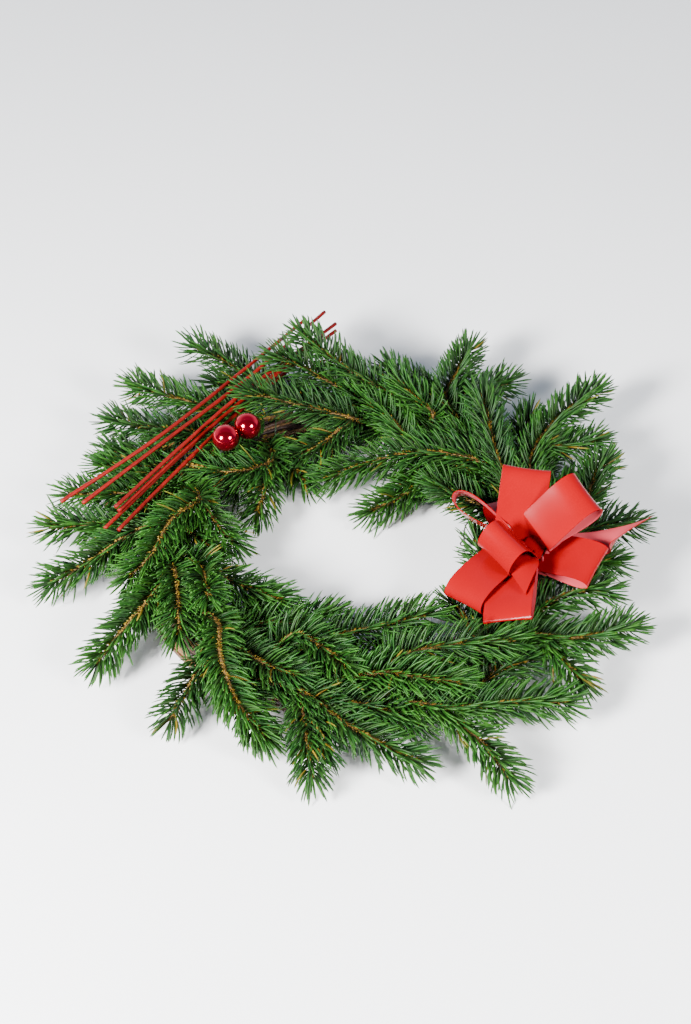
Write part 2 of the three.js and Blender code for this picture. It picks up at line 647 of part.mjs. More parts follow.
const sprigs = SPRIGS.map((sprig, index) => {
  const twigs = sprigTwigs(sprig, nodes.get('ring_base').solid);
  return { name: `sprig_${String(index + 1).padStart(2, '0')}`, twigs };
});
for (const { name, twigs } of sprigs) {
  addNode(name, fuse(twigs.map((twig) => twig.solid)), FINISHES.needles);
}

// Needles are set sprig by sprig, clear of every other piece as it stands then
for (const [index, { name, twigs }] of sprigs.entries()) {
  const others = [...nodes].filter(([other]) => other !== name)
    .map(([, node]) => ({ solid: node.solid, box: node.solid.boundingBox() }));
  const needles = [];
  for (const [at, twig] of twigs.entries()) needlesOf(twig, index + at, others, needles);
  nodes.get(name).solid = fuse([nodes.get(name).solid, ...needles.map((needle) => needle.solid)]);
}

const group = new THREE.Group();
for (const [name, { solid, finish }] of nodes) {
  const mesh = new THREE.Mesh(toGeometry(solid), new THREE.MeshStandardMaterial(finish));
  mesh.name = name;
  group.add(mesh);
}

// The origin lies on the ground under the middle of the whole wreath
const bounds = new THREE.Box3().setFromObject(group);
const middle = bounds.getCenter(new THREE.Vector3());
group.position.set(-middle.x, -middle.y, -bounds.min.z);

export default group;
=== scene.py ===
"""A spruce wreath lying on a pale floor, with a ribbon bow, two shiny balls and painted sticks."""

import math

import bpy
import numpy as np
from mathutils import Euler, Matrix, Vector
from mathutils.bvhtree import BVHTree


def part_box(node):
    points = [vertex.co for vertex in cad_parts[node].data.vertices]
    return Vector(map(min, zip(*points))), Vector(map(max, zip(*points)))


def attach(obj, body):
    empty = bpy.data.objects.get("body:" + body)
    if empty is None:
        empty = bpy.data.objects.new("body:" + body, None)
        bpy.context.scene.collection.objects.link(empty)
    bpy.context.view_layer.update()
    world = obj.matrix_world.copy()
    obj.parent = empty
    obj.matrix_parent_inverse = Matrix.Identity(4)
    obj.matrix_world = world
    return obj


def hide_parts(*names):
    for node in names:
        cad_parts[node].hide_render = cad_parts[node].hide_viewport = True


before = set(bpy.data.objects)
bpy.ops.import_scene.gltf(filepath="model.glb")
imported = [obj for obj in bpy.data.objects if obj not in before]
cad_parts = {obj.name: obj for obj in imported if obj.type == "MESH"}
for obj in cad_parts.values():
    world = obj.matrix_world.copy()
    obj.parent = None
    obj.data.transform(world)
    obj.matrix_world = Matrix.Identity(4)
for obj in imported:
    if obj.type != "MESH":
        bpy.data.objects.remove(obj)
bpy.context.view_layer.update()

WHITE = (1.0, 1.0, 1.0)

# Lengths below are in millimetres and angles in degrees. Places are measured from the middle of the
# ring of twigs, on the floor.
MM = 0.001
RING_LOW, RING_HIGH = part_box("ring_base")
RING_MIDDLE = np.array([(RING_LOW.x + RING_HIGH.x) / 2, (RING_LOW.y + RING_HIGH.y) / 2, 0])

# The photograph's camera
LENS = 70
LONG_SIDE = 36
ELEVATION = 46
CAMERA_DISTANCE = 1500
CAMERA_TARGET = (0, 52, 0)

# The studio, in metres and watts: the floor, and two round softboxes at the front, left (-1) and right (1)
FLOOR_HALF = 20.0
SOFTBOX_DIRECTION = (0.624, -0.543, 0.562)
SOFTBOX_DISTANCE = 1.6
SOFTBOX_SIZE = 0.5
SOFTBOXES = [("softbox_left", -1, 150), ("softbox_right", 1, 56)]
SKY_STRENGTH = 1.6

# The least height of a point, and a direction up that is in line with no twig or needle
FLOOR_GAP = 0.15
UPRIGHT = np.array([0.02, 0.01, 1.0])
GOLDEN_ANGLE = 2.39996

# Seeds of the random draws
SPRIG_SEED = 100
SHOOT_SEED = 500
RING_SEED = 7
STICK_SEED = 40

# Ring: its middle line and its bundle of loose twigs
RING_RADIUS = 140
BUNDLE_HEIGHT = 10.3
BUNDLE_RADIUS = 11
BUNDLE_SIDES = 10
RING_TWIGS = 30
RING_TWIG_RADIUS = (1.3, 2.1)
RING_TWIG_SPREAD = 0.86
RING_TWIG_WANDER = 0.8
RING_TWIG_SIDES = 7
RING_STEPS = 180

# Binding wire: its turns, the points in each, and its distance from the bundle's middle line in the groove
# below, over the butts of the sprigs and beside them
WIRE_TURNS = 20
ROWS_PER_TURN = 3
WIRE_RADIUS = 0.4
TURN_STEPS = 40
BINDING_WIRE_SIDES = 6
GROOVE_REACH = 10.3
OVER_BUTTS = BUNDLE_RADIUS + 5.05
BESIDE_BUTTS = BUNDLE_RADIUS + 2

# Twigs of the sprigs: radii, degrees from the turn of wire to a butt's two ends, lengths without needles
BUTT_RADIUS = 1.9
SIDE_RADIUS = 1.5
SHOOT_RADIUS = 1.2
TIP_RADIUS = 0.9
BUTT_DISTANCE = BUNDLE_RADIUS + 1.8
BUTT_FROM = -5
BUTT_TO = 3.5
MAIN_BARE = 30
SIDE_BARE = 2
TWIG_STEP = 2
BARK_SIDES = 8
BARK_ROUGHNESS = 0.07

# Low shoots of a sprig, left (1) and right (-1): ranges of their start along the main twig, of their turn
# from it and of their length, and how far they arch
SHOOT_START = (14, 26)
SHOOT_TURN = (24, 40)
SHOOT_LENGTH = (42, 58)
SHOOT_ARCH = np.array([0, 0, 3])

# Sprigs, counted from 0, that lack a shoot, and the points cut off the tips of main twigs and of shoots
SHOOTS_LEFT_OUT = {1: (13, 29, 30, 31), -1: (22, 25, 26, 28, 30, 34, 36, 37)}
TIPS_CUT = {0: 4, 4: 9, 10: 5, 17: 5, 40: 6, 41: 4}
SHOOT_TIPS_CUT = {(3, 1): 9}

# A side twig that was cut off short
CUT_SPUR_SPRIG = "sprig_32"
CUT_SPUR = [(112, 248, 24), (101, 238, 26)]
CUT_SPUR_RADIUS = 2.185
CUT_SPUR_SIDES = 10

# Needles cross nothing that is tied on and lie under it, but those of a few sprigs lie over the sticks
OVER_STICKS = (9, 11, 12)
CLEAR_ABOVE = 25
CLEAR_BEYOND = 1.05
SEEN_ALONG = [(0, 0, -1), (0, 0.7, -0.7)]
SEEN_BOTH_WAYS = [(0, 0.7, -0.7), (0, -0.7, 0.7)]

# Needles: their number and size, the places along one where it has corners, and the widths there
NEEDLES_PER_MM = 3.0
NEEDLE_LENGTH = 21
NEEDLE_HALF_WIDTH = 0.76
NEEDLE_RIDGE = 0.75
NEEDLE_SHAPE = [(0, 0.28, 0.62, 0.87, 1), (0.55, 0.96, 1.0, 0.76)]
LENGTH_SPREAD = 0.09
WIDTH_SPREAD = 0.08
TWIST_SPREAD = 0.35

# Where needles point: mean and spread of their lean from the twig and of their bend back along it; the
# radians from its top to the parting and to the lowest ones, and their spread; how much the ends rise and
# stray; the lengths over which the parting opens and the needles grow full; and the tuft at the tip
LEAN = (65, 6)
BEND = (32, 7)
PARTING = 0.42
LOWEST_AZIMUTH = 2.5
AZIMUTH_SPREAD = 0.25
RISE = 0.04
STRAY = 0.045
PARTED_FROM_TIP = (10, 45)
FULL_FROM_BASE = (-2, 14)
TIP_TUFT = 9

# Colour of needles: the freshness of sprigs, the share of it on shoots and its spread; how much fresher a
# tip is, and from where; the share of dry needles, more near the base; and the ranges of dryness
FRESHNESS = (0.05, 0.75)
SHOOT_FRESHNESS = 0.6
FRESHNESS_SPREAD = 0.3
YOUNG_AT_TIP = 0.35
YOUNG_FROM = 0.55
DRY_SHARE = 0.008
DRY_AT_BASE = 0.03
OLD_TO = (10, 70)
DRY_TINT = (0.4, 1)
GREEN_TINT = (0, 0.04)

# Pegs that the needles stand on: their number, and the ranges of their length and width
PEGS_PER_MM = 1.9
PEG_LENGTH = (1.5, 3.2)
PEG_WIDTH = (1.0, 1.4)
PEG_SHAPE = [(0, 1), (1.0,)]

# Ribbon: its size, its pleats where it is gathered, its crown elsewhere, and its points
RIBBON_WIDTH = 34
RIBBON_THICKNESS = 0.45
GATHERED_WIDTH = 0.22
PLEATS = 2.5
PLEAT_HEIGHT = 1.6
CROWN = 0.7
SLANT_REACH = 26
ACROSS = 13
LOOP_ROWS = 56

# Bow: its middle, the start and fullness of its loops, and how an upper end is tucked under
BOW_PLACE = (137, 347, 48)
LOOP_START = 4
LOOP_FULLNESS = 0.8
TUCK_RADIUS = 1.6
TUCK_STEPS = 11
TUCKED_ROWS = 4
TUCKED_STEP = 2

# Balls and their necks
BALL_RADIUS = 10
BALL_ROWS = 36
BALL_SIDES = 56
NECK_RADIUS = 1.9
NECK_LENGTH = 2.4
NECK_ROUNDING = 0.04

# Sticks
STICK_RADIUS = 1.41
STICK_SIDES = 12
STICK_STEP = 3

# Sprigs: the turn of wire that holds each, its lane across the ring, and the places that its main twig, and
# then each side twig, passes through as (distance from the middle, bearing, height)
SPRIGS = [
    (0, 1, [(174, 8, 30), (196, 18, 32), (217, 23, 28)]),
    (0, 2, [(155, 27, 36), (195, 35, 38), (248, 38, 32)],
     [(171, 29, 34), (193, 28, 32), (218, 28, 26)]),
    (0, 3, [(132, 30, 40), (150, 44, 46), (172, 53, 44)]),
    (0, 4, [(102, 17, 31), (88, 29, 33), (84, 42, 28)]),
    (1, 1, [(158, 32, 26), (182, 40, 28), (208, 45, 24)]),
    (1, 3, [(119, 36, 38), (95, 54, 38), (75, 76, 32), (66, 105, 22)]),
    (1, 4, [(108, 36, 26), (90, 45, 24), (65, 51, 18), (43, 67, 12)]),
    (2, 2, [(161, 61, 32), (192, 63, 34), (226, 64, 30)],
     [(171, 57, 28), (195, 55, 27), (215, 53, 23)], [(158, 64, 30), (175, 75, 28), (190, 80, 26)]),
    (2, 4, [(107, 60, 30), (127, 75, 33), (147, 88, 32)]),
    (3, 2, [(154, 81, 37), (167, 91, 45), (206, 100, 47)]),
    (3, 3, [(139, 61, 35), (147, 70, 42), (166, 78, 44)]),
    (4, 2, [(158, 95, 37), (172, 103, 46), (182, 108, 48)]),
    (4, 4, [(117, 88, 36), (128, 106, 44), (151, 120, 50)],
     [(114, 88, 33), (98, 99, 31), (92, 117, 24)]),
    (5, 1, [(184, 111, 23), (213, 117, 30), (237, 121, 33)], [(172, 108, 21), (200, 121, 22)]),
    (6, 2, [(168, 127, 30), (202, 134, 34), (230, 136, 30)]),
    (6, 4, [(92, 128, 33), (100, 145, 38), (140, 152, 38)],
     [(92, 128, 33), (76, 144, 24), (73, 157, 18)]),
    (7, 1, [(165, 138, 30), (187, 143, 30), (220, 145, 24)],
     [(157, 137, 26), (178, 150, 22), (206, 151, 18)]),
    (8, 1, [(161, 152, 25), (183, 156, 25), (211, 157, 20)]),
    (8, 2, [(160, 163, 28), (187, 166, 26), (214, 166, 19)]),
    (8, 3, [(110, 167, 42), (125, 180, 46), (143, 193, 41), (161, 196, 32)],
     [(110, 165, 40), (91, 177, 31), (79, 184, 24)]),
    (9, 2, [(145, 176, 28), (176, 176, 28), (218, 176, 22)]),
    (9, 3, [(131, 176, 37), (159, 183, 37), (181, 187, 29), (216, 190, 18)]),
    (10, 2, [(137, 199, 33), (156, 206, 32), (181, 210, 26), (206, 213, 18)]),
    (10, 3, [(128, 198, 39), (137, 212, 41), (152, 221, 32)]),
    (10, 4, [(111, 196, 32), (96, 212, 37), (77, 238, 30)],
     [(111, 197, 33), (112, 208, 46), (126, 222, 57)]),
    (11, 3, [(128, 226, 42), (154, 237, 45), (175, 246, 35), (187, 254, 21)]),
    (12, 2, [(147, 230, 27), (163, 231, 24), (198, 233, 14)]),
    (12, 3, [(133, 237, 34), (140, 248, 40), (143, 258, 41)]),
    (12, 4, [(103, 233, 25), (86, 250, 28), (73, 264, 26)]),
    (13, 2, [(152, 260, 33), (173, 270, 31), (201, 284, 17)],
     [(151, 259, 33), (174, 261, 29), (207, 264, 14)]),
    (13, 3, [(107, 251, 38), (118, 263, 42), (134, 271, 42)]),
    (13, 4, [(112, 248, 24), (95, 268, 30), (94, 287, 34), (98, 308, 32)]),
    (14, 2, [(154, 266, 32), (160, 277, 30), (176, 287, 24)]),
    (14, 3, [(139, 280, 40), (154, 289, 46), (168, 298, 43)]),
    (15, 1, [(161, 284, 33), (177, 293, 35), (191, 307, 28), (211, 316, 20)],
     [(173, 291, 34), (204, 296, 25), (234, 298, 13)]),
    (15, 3, [(130, 286, 41), (139, 301, 48), (161, 316, 44)]),
    (16, 1, [(166, 300, 26), (163, 310, 28), (170, 319, 25)]),
    (17, 1, [(159, 322, 32), (186, 327, 34), (217, 337, 26)],
     [(166, 323, 33), (193, 322, 26), (207, 322, 18)]),
    (17, 3, [(148, 326, 31), (169, 338, 38), (194, 343, 32)]),
    (17, 4, [(124, 315, 24), (108, 319, 26), (95, 322, 22)]),
    (18, 4, [(112, 340, 25), (96, 355, 27), (92, 8, 25)]),
    (19, 1, [(172, 352, 24), (188, 354, 24), (203, 355, 21)]),
    (19, 2, [(164, 358, 33), (184, 1, 35), (213, 3, 29)]),
]

# Loops of the bow, in turn from its top. Each points to a bearing, rises, is turned about its own line by
# its roll, and is gathered over a share of its length. A tucked one ends that far from the middle.
LOOPS = [
    dict(bearing=79, rise=43, length=56, open=12, roll=4, gather=0.3, tucked=0, shift=(-13, 1, 2)),
    dict(bearing=24, rise=31, length=45, open=16, roll=14, tucked=0, shift=(1, 1.6, 16.8)),
    dict(bearing=-32, rise=10, length=45, open=10, roll=13, gather=0.3, tucked=4, shift=(4.5, -1.4, 0)),
    dict(bearing=-99, rise=-1, length=65.5, open=7, roll=19, gather=0.3, shift=(-12.8, -5, 4)),
    dict(bearing=-132, rise=-12, length=64, open=16, roll=12, gather=0.3, shift=(-10, 2, 6)),
    dict(bearing=-142, rise=30, length=38, open=22, roll=-3, gather=0.3, shift=(-3, -1, 4)),
    dict(bearing=148, rise=16, length=65, open=14, roll=54, gather=0.35, shift=(-2, 7.3, -5.5)),
    dict(bearing=118, rise=20, length=43, open=12, roll=10, gather=0.35, shift=(-1, 6.3, -7.5),
         face_slot=1),
]

# Two tails with slanted ends, and the short band over the knot, along points (out, up) a step apart
BANDS = [
    dict(bearing=3, rise=0, roll=6, line=[(22, 2), (46, 4), (58, 9), (68, 20)], step=2, slant=-32,
         width=21, gather=0, shift=(0, 0, 0)),
    dict(bearing=-114, rise=0, roll=4, line=[(2, 0), (10, 4), (22, 8), (36, 5)], step=2, slant=-22,
         width=24, gather=20, shift=(-2, -5.8, 6), face_slot=1),
    dict(bearing=62, rise=0, roll=0, line=[(-9, 0), (-4, 4.5), (4, 4.5), (9, 0)], step=1.5, slant=0,
         width=15, gather=0, shift=(1, -1, 3), face_slot=1),
]

# Middles of the balls, the place where their wires meet, and the lines of the sticks
BALLS = [(118, 139, 53), (118, 128.5, 51)]
BALL_FORK = (129, 137, 27)
STICKS = [
    [(207, 175, 46), (164, 151, 48), (181, 117, 42), (233, 98, 37)],
    [(191, 175, 46), (156, 149, 48), (173, 116, 42), (241, 94, 37)],
    [(166, 177, 50), (142, 150, 49), (157, 120.5, 44), (226, 92, 37)],
    [(164, 177, 46), (140, 149, 45.5), (155, 119, 41), (221, 92, 34)],
    [(173, 182, 43), (142, 152, 41.5), (155, 122, 37.5), (220, 94.5, 31)],
    [(163, 183, 44), (134, 154, 43), (151, 122.5, 34), (197, 100, 28)],
]

# Wires that hold them: the rows where they go under the ring, and where round its bundle they start
BOW_ROW = 56
BALL_ROW = 22
STICK_ROW = 14
INNER_SIDE = 180
BALL_WIRE_FROM = 144
WRAP_STEP = 12
WIRE_STEP = 1
WIRE_SIDES = 8

# The sticks' wire goes round them at this share of their length, this far from their middle lines
STICK_TIE = 0.83
STICK_WIRE_UP = (158, 98, 14)
HUG_REACH = 1.9
HUG_ANGLES = range(-70, -411, -10)

# The bow's wire starts inside the bow and ends in a curl. Its last points are kept clear of needles.
UNDER_BOW = np.array([0, 0, 8])
BOW_WIRE_DOWN = [(150, 351, 34), (156, 352.5, 14)]
BOW_WIRE_END = [(112, 0, 14), (93, 14, 19), (89, 11.5, 11)]
BOW_WIRE_RADIUS = 0.6
BOW_WIRE_STEP = 0.7
CURL_MIDDLE = (88, 9, 6)
CURL_RADIUS = 2.2
CURL_ANGLES = range(60, -241, -20)
END_POINTS = 36
END_CLEAR = 2.5


def place(reach, bearing, height):
    """A place on the wreath, from its distance to the middle, its bearing and its height."""
    turned = math.radians(bearing)
    return np.array([reach * math.cos(turned), reach * math.sin(turned), height])


def ring_place(bearing, around, distance):
    """A place round the ring's bundle: bearing along it, angle round it, distance from its middle line."""
    turned = math.radians(around)
    reach = RING_RADIUS + distance * math.cos(turned)
    return place(reach, bearing, BUNDLE_HEIGHT + distance * math.sin(turned))


def unit(vectors):
    """Vectors, one a row, at length 1."""
    return vectors / np.maximum(np.linalg.norm(vectors, axis=-1, keepdims=True), 1e-9)


def rotated(x, y, degrees):
    """Two coordinates, turned in their plane."""
    cos, sin = math.cos(math.radians(degrees)), math.sin(math.radians(degrees))
    return x * cos - y * sin, x * sin + y * cos


def aimed(first, second, radians):
    """Directions turned from the first ones towards the second ones."""
    return first * np.cos(radians) + second * np.sin(radians)


def distances(path):
    """How far along a path each of its points is."""
    return np.concatenate([[0], np.cumsum(np.linalg.norm(np.diff(path, axis=0), axis=1))])


def looked_up(at, along, vectors):
    """Vectors at distances along a path, between those at its points."""
    return np.stack([np.interp(at, along, vectors[:, axis]) for axis in range(3)], axis=1)


def spaced(points, spacing):
    """Points along straight stretches, evenly spaced."""
    points = np.asarray(points, float)
    along = distances(points)
    count = max(2, round(along[-1] / spacing) + 1)
    return looked_up(np.linspace(0, along[-1], count), along, points)


def between(first, last, start, end, at):
    """A place on the line that leaves first at start and reaches last at end."""
    return (end - at) / (end - start) * first + (at - start) / (end - start) * last


def smooth_path(points, spacing, samples=25):
    """A centripetal Catmull-Rom curve through points, as evenly spaced points."""
    given = np.asarray(points, float)
    given = np.vstack([2 * given[0] - given[1], given, 2 * given[-1] - given[-2]])
    dense = []
    for index in range(len(given) - 3):
        near = given[index:index + 4]
        knots = np.cumsum([0, *(math.sqrt(np.linalg.norm(step)) for step in np.diff(near, axis=0))])
        at = np.linspace(knots[1], knots[2], samples)[:, None]
        ab, bc, cd = (between(near[i], near[i + 1], knots[i], knots[i + 1], at) for i in range(3))
        abc = between(ab, bc, knots[0], knots[2], at)
        bcd = between(bc, cd, knots[1], knots[3], at)
        dense.append(between(abc, bcd, knots[1], knots[2], at))
    return spaced(np.vstack(dense), spacing)


def tangents(path):
    """The direction of a path at each of its points."""
    return unit(np.gradient(path, axis=0))


def any_normal(direction):
    """A direction square to the given one."""
    return unit(np.cross(direction, (0.3, 0.2, 1.0)))


def carried_normals(path):
    """A normal at each point of a path, carried along it without twist, and the direction across."""
    ahead = tangents(path)
    normals = [any_normal(ahead[0])]
    for direction in ahead[1:]:
        normal = normals[-1] - np.dot(normals[-1], direction) * direction
        normals.append(unit(normal))
    normals = np.array(normals)
    return normals, np.cross(ahead, normals)


class Draft:
    """Points and faces of one piece, with a material index for each face and a tint for each point."""

    def __init__(self):
        self.points = []
        self.faces = []
        self.slots = []
        self.tints = []
        self.sharp = set()
        self.count = 0

    def add(self, points, faces, slot=0, tints=(0, 0, 0, 0)):
        """Points with groups of faces between them. The slot is one for all groups or one for each."""
        points = np.asarray(points, float).reshape(-1, 3)
        slots = [slot] * len(faces) if isinstance(slot, int) else slot
        for group, group_slot in zip(faces, slots):
            self.faces.extend((np.asarray(group) + self.count).tolist())
            self.slots.extend([group_slot] * len(group))
        self.points.append(points)
        self.tints.append(np.broadcast_to(np.asarray(tints, float), (len(points), 4)))
        self.count += len(points)

    def make(self, name, materials, node):
        """The piece, in place of a node of the CAD model."""
        points = np.vstack(self.points)
        points[:, 2] = np.maximum(points[:, 2], FLOOR_GAP)
        mesh = bpy.data.meshes.new(name)
        mesh.from_pydata((points * MM + RING_MIDDLE).tolist(), [], self.faces)
        tint = mesh.color_attributes.new("tint", "FLOAT_COLOR", "POINT")
        tint.data.foreach_set("color", np.vstack(self.tints).astype(np.float32).ravel())
        for material in materials:
            mesh.materials.append(material)
        mesh.polygons.foreach_set("material_index", self.slots)
        mesh.polygons.foreach_set("use_smooth", [True] * len(mesh.polygons))
        mesh.update()
        if self.sharp:
            sharp = mesh.attributes.new("sharp_edge", "BOOLEAN", "EDGE")
            marked = [tuple(sorted(edge.vertices)) in self.sharp for edge in mesh.edges]
            sharp.data.foreach_set("value", marked)
        piece = bpy.data.objects.new(name, mesh)
        bpy.context.scene.collection.objects.link(piece)
        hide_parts(node)
        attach(piece, "root")
        return piece


def ring_faces(rows, sides, closed=False):
    """Quads between rows of points that each go round. If closed, the last row meets the first."""
    faces = []
    for row in range(rows if closed else rows - 1):
        here = row * sides
        ahead = (row + 1) % rows * sides
        for side in range(sides):
            over = (side + 1) % sides
            faces.append((here + side, here + over, ahead + over, ahead + side))
    return faces


def capped_faces(rows, sides):
    """The same, with triangles from both end rows to the two points that follow the rows."""
    ends = rows * sides
    last = ends - sides
    caps = []
    for side in range(sides):
        over = (side + 1) % sides
        caps += [(ends, over, side), (ends + 1, last + side, last + over)]
    return [ring_faces(rows, sides), caps]


def add_tube(draft, path, radius, sides=WIRE_SIDES, slot=0, tints=(0, 0, 0, 0), closed=False):
    """A round tube along a path. The radius is one number, one for each point or one for each corner."""
    normals, across = carried_normals(path)
    turned = np.linspace(0, 2 * math.pi, sides, endpoint=False)[None, :, None]
    spokes = aimed(normals[:, None], across[:, None], turned)
    radius = np.asarray(radius, float)
    radius = radius.reshape(-1, 1, 1) if radius.ndim < 2 else radius[:, :, None]
    corners = path[:, None] + spokes * radius
    tints = np.asarray(tints, float)
    if tints.ndim == 2:
        tints = np.repeat(tints, sides, axis=0)
    if closed:
        draft.add(corners, [ring_faces(len(path), sides, closed=True)], slot, tints)
        return
    if tints.ndim == 2:
        tints = np.vstack([tints, tints[:1], tints[-1:]])
    points = np.vstack([corners.reshape(-1, 3), path[:1], path[-1:]])
    draft.add(points, capped_faces(len(path), sides), slot, tints)


def add_wire(draft, points):
    """A thin wire along a smooth line through points."""
    add_tube(draft, smooth_path(points, WIRE_STEP), WIRE_RADIUS)


def blade_place(start, end, share):
    """A place along a blade of length 1 that bends evenly from its start direction to its end one."""
    return start * (share - share ** 2 / 2) + end * share ** 2 / 2


def blade_faces(bands):
    """Quads along the three sides of a blade, then the triangles of its point and its root."""
    quads = ring_faces(bands, 3)
    last = 3 * bands - 3
    ends = [(last + side, last + (side + 1) % 3, last + 3) for side in range(3)] + [(2, 1, 0)]
    return [group for group in (quads, ends) if group]


def add_blades(draft, shape, roots, start, end, lengths, widths, twist, tints):
    """Needles or pegs. Each has a broad flat side below and a ridge above, and ends in a point.

    The tint holds the place along the blade, the two given tints, and 1 on the ridge, where a needle gets
    its pale stripe that is partly stomatal lines and partly a painted highlight.
    """
    count = len(roots)
    stations, station_widths = shape
    bands = len(station_widths)
    share = np.array(stations)[None, :, None]
    lines = roots[:, None] + lengths[:, None, None] * blade_place(start[:, None], end[:, None], share)
    ahead = unit(start[:, None] * (1 - share) + end[:, None] * share)
    wide = unit(np.cross(ahead, UPRIGHT))
    ridge = np.cross(wide, ahead)
    twist = twist[:, None, None]
    wide, ridge = aimed(wide, ridge, twist), aimed(ridge, -wide, twist)
    scale = widths[:, None, None] * np.array(station_widths)[None, :, None]
    middle = lines[:, :bands]
    corners = np.stack([
        middle + wide[:, :bands] * scale * NEEDLE_HALF_WIDTH,
        middle + ridge[:, :bands] * scale * NEEDLE_RIDGE,
        middle - wide[:, :bands] * scale * NEEDLE_HALF_WIDTH,
    ], axis=2).reshape(count, 3 * bands, 3)
    points = np.concatenate([corners, lines[:, bands:]], axis=1)
    per_blade = 3 * bands + 1
    offsets = (np.arange(count) * per_blade)[:, None, None]
    groups = [(np.array(group)[None] + offsets).reshape(-1, len(group[0])) for group in blade_faces(bands)]
    shade = np.zeros((count, per_blade, 4))
    shade[:, :-1, 0] = np.repeat(stations[:bands], 3)
    shade[:, -1, 0] = 1
    shade[:, :, 1:3] = tints[:, None]
    shade[:, :-1, 3] = np.tile([0, 1, 0], bands)
    shade[:, -1, 3] = 0.5
    draft.add(points, groups, 0, shade.reshape(-1, 4))


def smoothstep(values, low, high):
    """A smooth rise from 0 at the low value to 1 at the high one."""
    share = np.clip((values - low) / (high - low), 0, 1)
    return share * share * (3 - 2 * share)


def along_twig(path, at):
    """Places along a twig, with the directions ahead, up and across there."""
    along = distances(path)
    centre = looked_up(at, along, path)
    ahead = unit(looked_up(at, along, tangents(path)))
    upward = unit(UPRIGHT - ahead * (ahead @ UPRIGHT)[:, None])
    return centre, ahead, upward, np.cross(ahead, upward)


def path_length(path):
    """The length of a path."""
    return np.linalg.norm(np.diff(path, axis=0), axis=1).sum()


def in_line(tree, points, directions):
    """Whether one of a tree's pieces is near a point in one of the directions."""
    return any(tree.ray_cast(Vector(point), Vector(direction), CLEAR_ABOVE)[0] is not None
               for point in points for direction in directions)


def free_of_obstacles(roots, start, end, lengths, on_top):
    """Which blades cross none of the ribbon, balls and sticks, and lie over nothing that is on top."""
    middles = roots + lengths[:, None] * blade_place(start, end, 0.5)
    tips = roots + lengths[:, None] * blade_place(start, end, 1)
    free = []
    for root, middle, tip in zip(roots, middles, tips):
        crossed = False
        for first, last in ((root, middle), (middle, tip)):
            step = Vector(last - first)
            hit = OBSTACLES.ray_cast(Vector(first), step, step.length * CLEAR_BEYOND)[0]
            crossed = crossed or hit is not None
        outer = (middle, (middle + tip) / 2, tip)
        covering = in_line(on_top, outer, SEEN_ALONG) or in_line(WIRE_END, outer, SEEN_BOTH_WAYS)
        free.append(not crossed and not covering)
    return np.array(free)


def add_needles(draft, path, bare, radius, rng, freshness, on_top):
    """Needles round a twig from its bare base to its tip, parted along its top and combed up from below."""
    length = path_length(path)
    count = int((length - bare) * NEEDLES_PER_MM)
    if count < 1:
        return
    at = bare + (length - bare) * (np.arange(count) + rng.uniform(-0.5, 0.5, count)) / count
    at = np.clip(at, 0, length - 0.2)
    centre, ahead, upward, across = along_twig(path, at)

    to_tip = smoothstep(length - at, 0, TIP_TUFT)
    from_base = smoothstep(at - bare, *FULL_FROM_BASE)
    turned = np.arange(count) * GOLDEN_ANGLE + rng.normal(0, AZIMUTH_SPREAD, count)
    turned = turned % (2 * math.pi) - math.pi
    parting = PARTING * smoothstep(length - at, *PARTED_FROM_TIP)
    azimuth = parting + np.abs(turned) / math.pi * (LOWEST_AZIMUTH - parting)
    azimuth *= np.sign(turned)
    outward = aimed(upward, across, azimuth[:, None])

    # Those of the tip's tuft lean and bend less and are shorter, as are those near the base
    lean = np.radians(rng.normal(*LEAN, count)) * (0.42 + 0.58 * to_tip)
    bend = np.radians(rng.normal(*BEND, count)) * (0.5 + 0.5 * to_tip)
    start = aimed(ahead, outward, lean[:, None])
    end = aimed(ahead, outward, (lean - bend)[:, None])
    end = unit(end + np.array([0, 0, RISE]) * to_tip[:, None] + rng.normal(0, STRAY, (count, 3)))
    lengths = NEEDLE_LENGTH * rng.normal(1, LENGTH_SPREAD, count)
    lengths = lengths * (0.7 + 0.3 * from_base) * (0.84 + 0.16 * to_tip)
    roots = centre + outward * (radius * 0.5)

    old = 1 - smoothstep(at, *OLD_TO)
    is_dry = rng.random(count) < DRY_SHARE + DRY_AT_BASE * old
    dry = np.where(is_dry, rng.uniform(*DRY_TINT, count), rng.uniform(*GREEN_TINT, count))
    young = YOUNG_AT_TIP * smoothstep(at / length, YOUNG_FROM, 1)
    fresh = np.clip(rng.normal(freshness + young, FRESHNESS_SPREAD, count), 0, 1)
    tints = np.stack([fresh, dry], axis=1)
    widths = rng.normal(1, WIDTH_SPREAD, count)
    twist = rng.normal(0, TWIST_SPREAD, count)
    free = free_of_obstacles(roots, start, end, lengths, on_top)
    kept = [part[free] for part in (roots, start, end, lengths, widths, twist, tints)]
    add_blades(draft, NEEDLE_SHAPE, *kept)


def add_pegs(draft, path, radius, rng):
    """Short woody pegs that needles stand on, or that fallen ones left."""
    length = path_length(path)
    count = int(length * PEGS_PER_MM)
    at = rng.uniform(0, length - 2, count)
    centre, ahead, upward, across = along_twig(path, at)
    azimuth = rng.uniform(-math.pi, math.pi, count)
    outward = aimed(upward, across, azimuth[:, None])
    start = unit(ahead * 0.7 + outward)
    end = unit(start + ahead * 0.3)
    tints = np.stack([rng.uniform(0, 1, count), np.ones(count)], axis=1)
    lengths = rng.uniform(*PEG_LENGTH, count)
    widths = rng.uniform(*PEG_WIDTH, count)
    roots = centre + outward * radius * 0.6
    add_blades(draft, PEG_SHAPE, roots, start, end, lengths, widths, np.zeros(count), tints)


